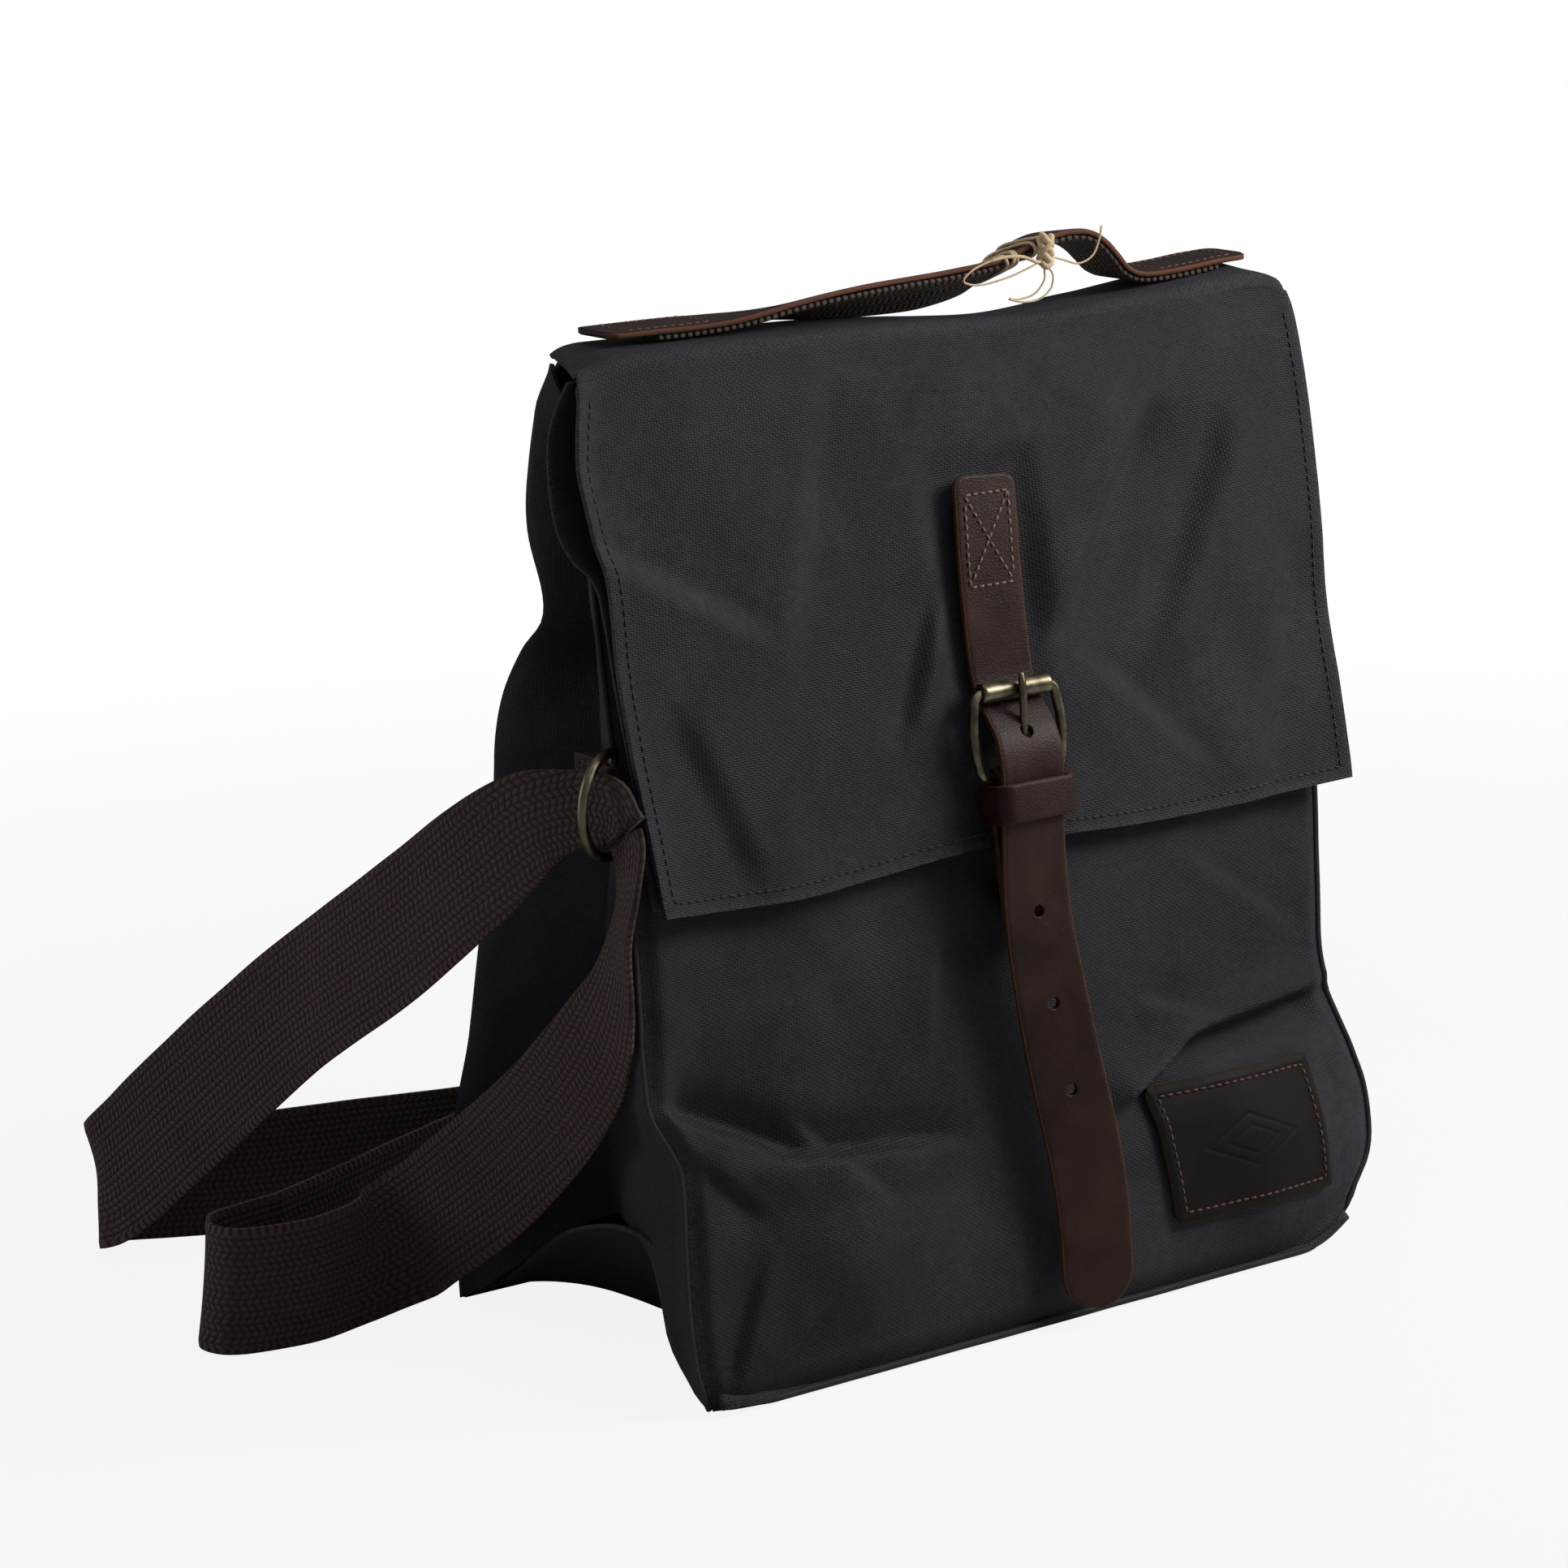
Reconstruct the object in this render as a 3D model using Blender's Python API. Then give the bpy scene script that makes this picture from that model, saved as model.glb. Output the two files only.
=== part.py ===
"""Upright messenger bag in waxed canvas, with a buckled flap, top handle and shoulder strap.

Metres, +Z up. The origin is the centre of the base underside, the front faces -Y and the
right side, seen from the front, faces +X. The front and back panels lean towards each other.
"""

import math

import bmesh
import bpy
from mathutils import Matrix, Vector

# Body
BAG_HALF_WIDTH = 0.1445
BASE_HALF_DEPTH = 0.075
RIDGE_HEIGHT = 0.343
TOP_BACK_Y = 0.0105
MOUTH_HEIGHT = 0.325
CLOTH = 0.0026
BOTTOM_THICKNESS = 0.0026
SEAM_GAP = 0.0004
FRONT_LEAN = math.radians(10)
FRONT_SLOPE = math.tan(FRONT_LEAN)
BACK_SLOPE = (BASE_HALF_DEPTH - TOP_BACK_Y) / RIDGE_HEIGHT
GUSSET_CREASE = 0.012
PIPING_RADIUS = 0.0013

# Flap
HINGE_Y = -0.0225
HINGE_Z = 0.3400
FLAP_HALF_WIDTH = 0.1480
FLAP_BOTTOM_V = 0.1675
FLAP_OFFSET = 0.0073
FLAP_THICKNESS = 0.0022
LINING_OFFSET = 0.0044
LINING_THICKNESS = 0.0016
LINING_BOTTOM_V = 0.1700
LINING_TOP_V = 0.3300

# Closure. Heights v run up the leaning front, heights n stand out of it.
STRAP_HALF_WIDTH = 0.0127
STRAP_THICKNESS = 0.0024
STRAP_LINE = [
    (0.2930, 0.0103), (0.2620, 0.0103), (0.2330, 0.0103), (0.2265, 0.0103), (0.2215, 0.0107),
    (0.2160, 0.0125), (0.2112, 0.0162), (0.2060, 0.0198), (0.2010, 0.0217), (0.1950, 0.0223),
    (0.1890, 0.0219), (0.1780, 0.0208), (0.1680, 0.0198), (0.1450, 0.0180), (0.1130, 0.0152),
    (0.0820, 0.0124), (0.0500, 0.0098), (0.0250, 0.0081), (0.0060, 0.0072),
]
HOLE_HEIGHTS = (0.1450, 0.1130, 0.0820)
HOLE_RADIUS = 0.0019
PRONG_HOLE_V = 0.2062
PRONG_HOLE = (0.0019, 0.0056)
HEEL_V = 0.1920
HEEL_N = 0.0150
ROLLER_V = 0.2205
ROLLER_N = 0.0158
FRAME_RADIUS = 0.0018
FRAME_HALF_WIDTH = 0.0176
FRAME_BULGE = 0.0012
ROLLER_HALF_LENGTH = 0.0144
ROLLER_OUTER = 0.0033
ROLLER_BORE = 0.0021
CHAPE_HALF_WIDTH = 0.0125
CHAPE_BACK_N = 0.0106
CHAPE_FRONT_N = 0.0138
CHAPE_BOTTOM_V = 0.1390
CHAPE_FOLD_RADIUS = 0.0038
CHAPE_BORE = 0.0021
PRONG_RADIUS = 0.0013
KEEPER_V = (0.1766, 0.1896)
KEEPER_INNER = (0.0149, 0.0103, 0.0237)
KEEPER_WALL = 0.0015
SNAP_V = 0.1505

# Handle
HANDLE_Y = -0.0015
HANDLE_HALF_WIDTH = 0.0110
HANDLE_LINE = [
    (-0.1320, 0.0000), (-0.1150, 0.0000), (-0.0850, 0.0000), (-0.0720, 0.0014), (-0.0600, 0.0040),
    (-0.0440, 0.0062), (-0.0280, 0.0080), (-0.0100, 0.0092), (0.0060, 0.0101), (0.0220, 0.0124),
    (0.0320, 0.0162), (0.0420, 0.0190), (0.0520, 0.0206), (0.0600, 0.0208), (0.0670, 0.0194),
    (0.0730, 0.0150), (0.0780, 0.0090), (0.0840, 0.0030), (0.0920, 0.0000), (0.1150, 0.0000),
    (0.1380, 0.0000),
]

# Side rings
RING_X = 0.1485
RING_Y = -0.0312
RING_Z = 0.2000
LEFT_RING_ANGLE = math.radians(205)
RIGHT_RING_ANGLE = math.radians(40)
RING_ROD = 0.0017
RING_HALF_HEIGHT = 0.0170
RING_REACH = 0.0200

# Shoulder strap
WEBBING = 0.0450
WEBBING_THICKNESS = 0.0024
EDGE_Z = 0.0228


def reset_scene():
    for item in list(bpy.data.objects):
        bpy.data.objects.remove(item, do_unlink=True)


reset_scene()
BAG = bpy.data.collections.new("messenger_bag")
CUTTERS = bpy.data.collections.new("cutters")
bpy.context.scene.collection.children.link(BAG)
bpy.context.scene.collection.children.link(CUTTERS)


def material(name, color, roughness, metallic=0.0):
    made = bpy.data.materials.new(name)
    made.use_nodes = True
    shader = made.node_tree.nodes["Principled BSDF"]
    shader.inputs["Base Color"].default_value = (*color, 1)
    shader.inputs["Roughness"].default_value = roughness
    shader.inputs["Metallic"].default_value = metallic
    return made


def add(name, mesh, finish, frame=None):
    item = bpy.data.objects.new(name, mesh)
    finish = finish.copy()
    finish.name = name
    mesh.materials.append(finish)
    if frame is not None:
        item.matrix_world = frame
    BAG.objects.link(item)
    return item


def mesh_of(name, points, faces):
    mesh = bpy.data.meshes.new(name)
    mesh.from_pydata([tuple(p) for p in points], [], faces)
    work = bmesh.new()
    work.from_mesh(mesh)
    bmesh.ops.recalc_face_normals(work, faces=work.faces)
    work.to_mesh(mesh)
    work.free()
    return mesh


def skin(name, rings, closed=False):
    """A mesh through rings of points. Its two ends are filled unless it is closed."""
    size = len(rings[0])
    points = [p for ring in rings for p in ring]
    faces = []
    last = len(rings) if closed else len(rings) - 1
    for i in range(last):
        here, there = i * size, ((i + 1) % len(rings)) * size
        for j in range(size):
            k = (j + 1) % size
            faces.append((here + j, here + k, there + k, there + j))
    if not closed:
        faces.append(tuple(range(size)))
        faces.append(tuple(range((len(rings) - 1) * size, len(rings) * size)))
    return mesh_of(name, points, faces)


def prism(name, outline, axis, low, high):
    """A prism of the outline along X (outline in y, z), Y (x, z) or Z (x, y)."""
    order = {"X": lambda a, b, t: (t, a, b), "Y": lambda a, b, t: (a, t, b), "Z": lambda a, b, t: (a, b, t)}
    place = order[axis]
    rings = [[place(a, b, t) for a, b in outline] for t in (low, high)]
    return skin(name, rings)


def rod(name, line, radius, closed=False, sides=10):
    """A round rod along a line of points."""
    line = [Vector(p) for p in line]
    count = len(line)
    rings = []
    side = None
    for i, point in enumerate(line):
        before = line[i - 1] if (i or closed) else point
        after = line[(i + 1) % count] if (i < count - 1 or closed) else point
        along = (after - before).normalized()
        if side is None:
            side = along.orthogonal().normalized()
        side = (side - along * side.dot(along)).normalized()
        other = along.cross(side)
        turn = [2 * math.pi * k / sides for k in range(sides)]
        rings.append([point + radius * (math.cos(a) * side + math.sin(a) * other) for a in turn])
    return skin(name, rings, closed)


def ribbon(name, stations, thickness):
    """A flat band: each station is its centre, the direction across it and its width there."""
    rings = []
    count = len(stations)
    for i, (centre, across, width) in enumerate(stations):
        before = Vector(stations[max(i - 1, 0)][0])
        after = Vector(stations[min(i + 1, count - 1)][0])
        along = (after - before).normalized()
        across = Vector(across)
        across = (across - along * across.dot(along)).normalized()
        out = along.cross(across) * thickness / 2
        half = across * width / 2
        centre = Vector(centre)
        rings.append([centre - half - out, centre + half - out, centre + half + out, centre - half + out])
    return skin(name, rings)


def cutter(name, mesh, frame=None):
    item = bpy.data.objects.new(name, mesh)
    if frame is not None:
        item.matrix_world = frame
    item.hide_render = True
    item.display_type = "WIRE"
    CUTTERS.objects.link(item)
    return item


def cut(item, tool, operation="DIFFERENCE"):
    change = item.modifiers.new(tool.name, "BOOLEAN")
    change.operation = operation
    change.solver = "EXACT"
    change.object = tool


def round_rectangle(half_x, half_y, radius, steps=5):
    points = []
    for index, (sx, sy) in enumerate(((1, 1), (-1, 1), (-1, -1), (1, -1))):
        for step in range(steps + 1):
            angle = math.pi / 2 * (index + step / steps)
            x = sx * (half_x - radius) + radius * math.cos(angle)
            y = sy * (half_y - radius) + radius * math.sin(angle)
            points.append((x, y))
    return points


def plate(name, outlines, thickness, finish, frame):
    """A flat plate from closed outlines; the inner ones are windows."""
    curve = bpy.data.curves.new(name, "CURVE")
    curve.dimensions = "2D"
    curve.fill_mode = "BOTH"
    curve.extrude = thickness / 2
    for outline in outlines:
        spline = curve.splines.new("POLY")
        spline.points.add(len(outline) - 1)
        for point, (x, y) in zip(spline.points, outline):
            point.co = (x, y, 0, 1)
        spline.use_cyclic_u = True
    return add(name, curve, finish, frame)


def front_frame(u, v, n):
    """A frame on the leaning front: its X is across, its Y is up the front, its Z stands out."""
    up = Vector((0, math.sin(FRONT_LEAN), math.cos(FRONT_LEAN)))
    out = Vector((0, -math.cos(FRONT_LEAN), math.sin(FRONT_LEAN)))
    at = Vector((u, -BASE_HALF_DEPTH, 0)) + up * v + out * n
    turn = Matrix((Vector((1, 0, 0)), up, out)).transposed().to_4x4()
    return Matrix.Translation(at) @ turn


FRONT = front_frame(0, 0, 0)
HINGE_V = (HINGE_Z - 0) * math.cos(FRONT_LEAN) + (HINGE_Y + BASE_HALF_DEPTH) * math.sin(FRONT_LEAN)

CANVAS = material("canvas", (0.035, 0.034, 0.045), 0.75)
LINING = material("lining", (0.028, 0.027, 0.036), 0.8)
LEATHER = material("leather", (0.045, 0.02, 0.014), 0.5)
DARK_LEATHER = material("dark_leather", (0.022, 0.015, 0.011), 0.55)
BRASS = material("brass", (0.22, 0.18, 0.11), 0.35, 1.0)
WEB = material("webbing", (0.04, 0.027, 0.022), 0.85)
THREAD = material("thread", (0.25, 0.12, 0.08), 0.7)
PIPING = material("piping", (0.01, 0.01, 0.012), 0.6)
TWINE = material("twine", (0.5, 0.36, 0.2), 0.9)


def front_y(z):
    return -BASE_HALF_DEPTH + z * FRONT_SLOPE


def back_y(z):
    return BASE_HALF_DEPTH - z * BACK_SLOPE


def build_body():
    low = BOTTOM_THICKNESS + SEAM_GAP
    wall = CLOTH / math.cos(FRONT_LEAN)
    front = [
        (front_y(low), low),
        (front_y(MOUTH_HEIGHT), MOUTH_HEIGHT),
        (front_y(MOUTH_HEIGHT) + wall, MOUTH_HEIGHT),
        (front_y(low) + wall, low),
    ]
    add("front_panel", prism("front_panel", front, "X", -BAG_HALF_WIDTH, BAG_HALF_WIDTH), CANVAS)
    top = RIDGE_HEIGHT
    back = [
        (back_y(low), low),
        (back_y(0.336), 0.336),
        (0.0085, 0.3415),
        (0.0050, top),
        (-0.0190, top),
        (-0.0190, top - CLOTH),
        (0.0040, top - CLOTH),
        (0.0068, 0.3390),
        (back_y(0.334) - wall, 0.334),
        (back_y(low) - wall, low),
    ]
    add("back_panel", prism("back_panel", back, "X", -BAG_HALF_WIDTH, BAG_HALF_WIDTH), CANVAS)
    bottom = [
        (-BAG_HALF_WIDTH, -BASE_HALF_DEPTH + 0.001),
        (BAG_HALF_WIDTH, -BASE_HALF_DEPTH + 0.001),
        (BAG_HALF_WIDTH, BASE_HALF_DEPTH),
        (-BAG_HALF_WIDTH, BASE_HALF_DEPTH),
    ]
    add("bottom_panel", prism("bottom_panel", bottom, "Z", 0, BOTTOM_THICKNESS), CANVAS)


def gusset(name, side):
    """A side wall that folds inwards along its middle."""
    low = BOTTOM_THICKNESS + SEAM_GAP
    heights = (low, 0.05, 0.12, 0.20, 0.27, MOUTH_HEIGHT)
    folds = (0.000, 0.008, GUSSET_CREASE, GUSSET_CREASE, 0.008, 0.002)
    wall = CLOTH / math.cos(FRONT_LEAN) + SEAM_GAP
    rings = []
    for z, fold in zip(heights, folds):
        near = front_y(z) + wall
        far = back_y(z) - wall
        middle = (near + far) / 2
        outer = BAG_HALF_WIDTH
        rings.append([
            (side * outer, near, z),
            (side * (outer - fold), middle, z),
            (side * outer, far, z),
            (side * (outer - 0.0022), far, z),
            (side * (outer - fold - 0.0022), middle, z),
            (side * (outer - 0.0022), near, z),
        ])
    add(name, skin(name, rings), CANVAS)


def build_seams():
    out = Vector((0, -math.cos(FRONT_LEAN), math.sin(FRONT_LEAN)))
    for name, x in (("piping_left", -0.1462), ("piping_right", 0.1462)):
        line = [(x, front_y(z), z) for z in (0.010, 0.10, 0.20, 0.32)]
        add(name, rod(name, line, PIPING_RADIUS, sides=8), PIPING)
    base = [(x, -BASE_HALF_DEPTH - 0.0022, PIPING_RADIUS + 0.0002) for x in (-0.1430, 0.0, 0.1430)]
    add("piping_base", rod("piping_base", base, PIPING_RADIUS, sides=8), PIPING)
    return out


def flap_layer(name, offset, thickness, bottom, top, half_width, round_top, finish):
    """One cloth layer of the flap, in the frame of the leaning front. Y is up, Z stands out."""
    low, high = offset - thickness / 2, offset + thickness / 2
    outline = [(high, bottom), (low, bottom)]
    if round_top:
        for step in range(9):
            angle = math.pi * step / 8
            outline.append((offset - math.cos(angle) * 0.0016, top + math.sin(angle) * 0.0016))
    else:
        outline += [(low, top), (high, top)]
    rings = [[(x, v, n) for n, v in outline] for x in (-half_width, half_width)]
    return add(name, skin(name, rings), finish, FRONT)


def build_flap():
    flap_layer("flap_outer", FLAP_OFFSET, FLAP_THICKNESS, FLAP_BOTTOM_V, HINGE_V,
               FLAP_HALF_WIDTH, True, CANVAS)
    flap_layer("flap_lining", LINING_OFFSET, LINING_THICKNESS, LINING_BOTTOM_V, LINING_TOP_V,
               FLAP_HALF_WIDTH - 0.0015, False, LINING)


def strap_point(height):
    """(n, slope) of the closure strap's centre line at a height up the front."""
    for (v1, n1), (v0, n0) in zip(STRAP_LINE, STRAP_LINE[1:]):
        if v0 <= height <= v1:
            share = (v1 - height) / (v1 - v0)
            return n1 + (n0 - n1) * share, math.atan2(n0 - n1, v1 - v0)
    return STRAP_LINE[-1][1], 0.0


def build_closure_strap():
    stations = []
    for index, (v, n) in enumerate(STRAP_LINE):
        grow = 1 + 0.10 * index / (len(STRAP_LINE) - 1)
        stations.append(((0, v, n), (1, 0, 0), 2 * STRAP_HALF_WIDTH * grow))
    strap = add("closure_strap", ribbon("closure_strap", stations, STRAP_THICKNESS), LEATHER, FRONT)
    for index, height in enumerate((PRONG_HOLE_V, *HOLE_HEIGHTS)):
        n, slope = strap_point(height)
        half = (HOLE_RADIUS, HOLE_RADIUS) if index else PRONG_HOLE
        outline = round_rectangle(*half, min(half) - 0.00005, 4)
        tool = cutter(f"strap_hole_{index}", prism(f"strap_hole_{index}", outline, "Z", -0.004, 0.004))
        tool.matrix_world = FRONT @ Matrix.Translation((0, height, n)) @ Matrix.Rotation(-slope, 4, "X")
        cut(strap, tool)


def build_strap_stitching():
    """The crossed box of thread that holds the strap to the flap, as one flat net."""
    hx, hy, t = 0.0094, 0.0170, 0.00035
    outer = [(-hx, -hy), (hx, -hy), (hx, hy), (-hx, hy)]
    s = math.hypot(hx, hy)
    k = 2 * t * s
    a, b = k / (hy * 1.0), k / (hx * 1.0)
    windows = [
        [(-hx + 2 * t + a, hy - 2 * t), (hx - 2 * t - a, hy - 2 * t), (0, b / 2 + t)],
        [(-hx + 2 * t + a, -hy + 2 * t), (hx - 2 * t - a, -hy + 2 * t), (0, -b / 2 - t)],
        [(-hx + 2 * t, hy - 2 * t - b), (-hx + 2 * t, -hy + 2 * t + b), (-a / 2 - t, 0)],
        [(hx - 2 * t, hy - 2 * t - b), (hx - 2 * t, -hy + 2 * t + b), (a / 2 + t, 0)],
    ]
    n = STRAP_LINE[0][1] + STRAP_THICKNESS / 2 + 0.0006
    plate("strap_stitching", [outer, *windows], 0.0006, THREAD, front_frame(0, 0.2700, n))


def build_buckle():
    half, bulge = FRAME_HALF_WIDTH, FRAME_BULGE
    middle_v = (HEEL_V + ROLLER_V) / 2
    middle_n = (HEEL_N + ROLLER_N) / 2
    line = []
    for s in (-1, 1):
        ends = [(HEEL_V, HEEL_N), (ROLLER_V, ROLLER_N)]
        for step in range(9):
            share = step / 8
            v = ends[0][0] + (ends[1][0] - ends[0][0]) * (share if s > 0 else 1 - share)
            n = ends[0][1] + (ends[1][1] - ends[0][1]) * (share if s > 0 else 1 - share)
            out = half - 0.0022 + 0.0022 * min(1, 4 * min(share, 1 - share)) + bulge * math.sin(math.pi * share)
            line.append((s * out, v, n))
    add("buckle_frame", rod("buckle_frame", line, FRAME_RADIUS, closed=True, sides=10), BRASS, FRONT)
    tube = [((x, 0, 0), r) for x, r in (
        (-ROLLER_HALF_LENGTH, ROLLER_BORE), (-ROLLER_HALF_LENGTH, ROLLER_OUTER),
        (ROLLER_HALF_LENGTH, ROLLER_OUTER), (ROLLER_HALF_LENGTH, ROLLER_BORE))]
    sides = 20
    rings = []
    for k in range(sides):
        a = 2 * math.pi * k / sides
        rings.append([(c[0], r * math.cos(a), r * math.sin(a)) for c, r in tube])
    at = front_frame(0, ROLLER_V, ROLLER_N)
    add("buckle_roller", skin("buckle_roller", rings, closed=True), BRASS, at)
    return middle_v, middle_n


def build_prong():
    """A tongue bent round the heel bar, whose tip rests on the roller."""
    bore, outer = 0.0021, 0.0036
    half = 0.0017
    sides = 20
    rings = []
    for k in range(sides):
        a = 2 * math.pi * k / sides
        section = ((-half, bore), (-half, outer), (half, outer), (half, bore))
        rings.append([(x, r * math.cos(a), r * math.sin(a)) for x, r in section])
    prong = add("buckle_prong", skin("buckle_prong", rings, closed=True), BRASS, front_frame(0, HEEL_V, HEEL_N))
    line = [(0, 0.0005, 0.0030), (0, 0.0070, 0.0031), (0, 0.0150, 0.0040), (0, 0.0250, 0.0054), (0, 0.0325, 0.0058)]
    tongue = cutter("tongue", rod("tongue", line, PRONG_RADIUS, sides=10), front_frame(0, HEEL_V, HEEL_N))
    cut(prong, tongue, "UNION")


def build_chape():
    """The two-layer leather tab that folds round the heel bar, with a slot for the prong."""
    outline = [(CHAPE_BACK_N, CHAPE_BOTTOM_V), (CHAPE_FRONT_N, CHAPE_BOTTOM_V)]
    outline.append((CHAPE_FRONT_N, HEEL_V - 0.0060))
    for step in range(13):
        angle = math.radians(-40 + 225 * step / 12)
        outline.append((HEEL_N + CHAPE_FOLD_RADIUS * math.cos(angle), HEEL_V + CHAPE_FOLD_RADIUS * math.sin(angle)))
    outline.append((CHAPE_BACK_N, HEEL_V - 0.0060))
    rings = [[(x, v, n) for n, v in outline] for x in (-CHAPE_HALF_WIDTH, CHAPE_HALF_WIDTH)]
    chape = add("chape_tab", skin("chape_tab", rings), LEATHER, FRONT)
    line = [(-0.02, 0, 0), (0.02, 0, 0)]
    bore = cutter("heel_bore", rod("heel_bore", line, CHAPE_BORE, sides=20), front_frame(0, HEEL_V, HEEL_N))
    slot_outline = [(-0.0026, -0.0046), (0.0026, -0.0046), (0.0026, 0.0060), (-0.0026, 0.0060)]
    slot = cutter("prong_slot", prism("prong_slot", slot_outline, "Z", -0.006, 0.006),
                  front_frame(0, HEEL_V, HEEL_N))
    cut(chape, bore)
    cut(chape, slot)


def build_keeper():
    half, low, high = KEEPER_INNER
    wall = KEEPER_WALL
    inner = round_rectangle(half, (high - low) / 2, 0.0020, 3)
    outer = round_rectangle(half + wall, (high - low) / 2 + wall, 0.0032, 3)
    length = KEEPER_V[1] - KEEPER_V[0]
    centre = front_frame(0, sum(KEEPER_V) / 2, (low + high) / 2) @ Matrix.Rotation(math.pi / 2, 4, "X")
    plate("keeper_loop", [outer, inner], length, LEATHER, centre)


def build_snap():
    disc = [(0.0075 * math.cos(a * math.pi / 12), 0.0075 * math.sin(a * math.pi / 12)) for a in range(24)]
    small = [(0.0062 * x / 0.0075, 0.0062 * y / 0.0075) for x, y in disc]
    stud = prism("snap_stud", small, "Z", -0.0034, 0.0034)
    base = prism("snap_base", disc, "Z", -0.0013, 0.0013)
    add("snap_stud", stud, BRASS, front_frame(0, SNAP_V, 0.0068))
    add("snap_base", base, BRASS, front_frame(0, SNAP_V, 0.0017))


def build_label():
    outline = round_rectangle(0.0362, 0.0252, 0.0035)
    at = front_frame(0.0875, 0.0485, 0.0014)
    plate("label_patch", [outline], 0.0020, DARK_LEATHER, at)
    outer = round_rectangle(0.0322, 0.0212, 0.0020)
    inner = round_rectangle(0.0315, 0.0205, 0.0016)
    plate("label_stitching", [outer, inner], 0.0006, THREAD, front_frame(0.0875, 0.0485, 0.0030))


def build_handle():
    surface = RIDGE_HEIGHT
    line = [(x, surface + 0.0012 + rise) for x, rise in HANDLE_LINE]
    web = [((x, HANDLE_Y, z), (0, 1, 0), 2 * HANDLE_HALF_WIDTH - 0.002) for x, z in line[1:-1]]
    add("handle_webbing", ribbon("handle_webbing", web, 0.0016), WEB)
    strip = []
    for i, (x, z) in enumerate(line):
        (x0, z0), (x1, z1) = line[max(i - 1, 0)], line[min(i + 1, len(line) - 1)]
        length = math.hypot(x1 - x0, z1 - z0)
        raised = (x - (z1 - z0) / length * 0.0022, HANDLE_Y, z + (x1 - x0) / length * 0.0022)
        strip.append((raised, (0, 1, 0), 2 * HANDLE_HALF_WIDTH))
    add("handle_leather", ribbon("handle_leather", strip, 0.0020), LEATHER)
    for name, x in (("handle_stitching_left", -0.1090), ("handle_stitching_right", 0.1160)):
        outer = round_rectangle(0.0170, 0.0086, 0.0010, 2)
        inner = round_rectangle(0.0163, 0.0079, 0.0008, 2)
        at = Matrix.Translation((x, HANDLE_Y, surface + 0.0048))
        plate(name, [outer, inner], 0.0005, THREAD, at)


def build_twine():
    """A turn of twine round the handle near its peak."""
    x, z = 0.0450, RIDGE_HEIGHT + 0.0012 + 0.0205
    points = [(x + dx, HANDLE_Y + y, z + h) for dx, y, h in (
        (-0.0010, -0.0130, -0.0030), (0.0, -0.0130, 0.0052), (0.0005, 0.0, 0.0066), (0.0, 0.0130, 0.0052),
        (0.0, 0.0130, -0.0036), (-0.0005, 0.0, -0.0052))]
    add("twine_tie", rod("twine_tie", points, 0.0008, closed=True, sides=6), TWINE)


def ring_frame(side):
    """The frame of a side ring: X is towards its bow, Z is up along its straight bar."""
    return Matrix.Translation((side * RING_X, RING_Y, RING_Z)) @ Matrix.Rotation(
        LEFT_RING_ANGLE if side < 0 else RIGHT_RING_ANGLE, 4, "Z")


def build_ring(name, side):
    line = [(0, 0, z) for z in (-0.0150, -0.0050, 0.0050, 0.0150)]
    for step in range(13):
        angle = math.pi / 2 - math.pi * step / 12
        x = RING_REACH * abs(math.cos(angle)) ** 0.75
        line.append((x + 0.0006 * (step in (0, 12)), 0, RING_HALF_HEIGHT * math.sin(angle)))
    add(name, rod(name, line, RING_ROD, closed=True, sides=10), BRASS, ring_frame(side))


def build_ring_tab(name, side):
    """A leather loop round the straight bar of a side ring, sewn to the gusset behind it."""
    outline = []
    for step in range(13):
        angle = math.radians(90 + 180 * step / 12)
        outline.append((0.0033 * math.cos(angle), 0.0033 * math.sin(angle)))
    outline = [(side * -y, x) for x, y in outline]
    tail = 0.0240
    outline += [(side * 0.0033, 0.004), (side * -0.0004, 0.0090), (side * -0.0004, tail),
                (side * -0.0033, tail)]
    tab = add(name, prism(name, outline, "Z", -0.0125, 0.0125), LEATHER,
              Matrix.Translation((side * RING_X, RING_Y, RING_Z)))
    bore = cutter(name + "_bore", rod(name + "_bore", [(0, 0, -0.02), (0, 0, 0.02)], 0.0020, sides=16),
                  Matrix.Translation((side * RING_X, RING_Y, RING_Z)))
    cut(tab, bore)


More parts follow.
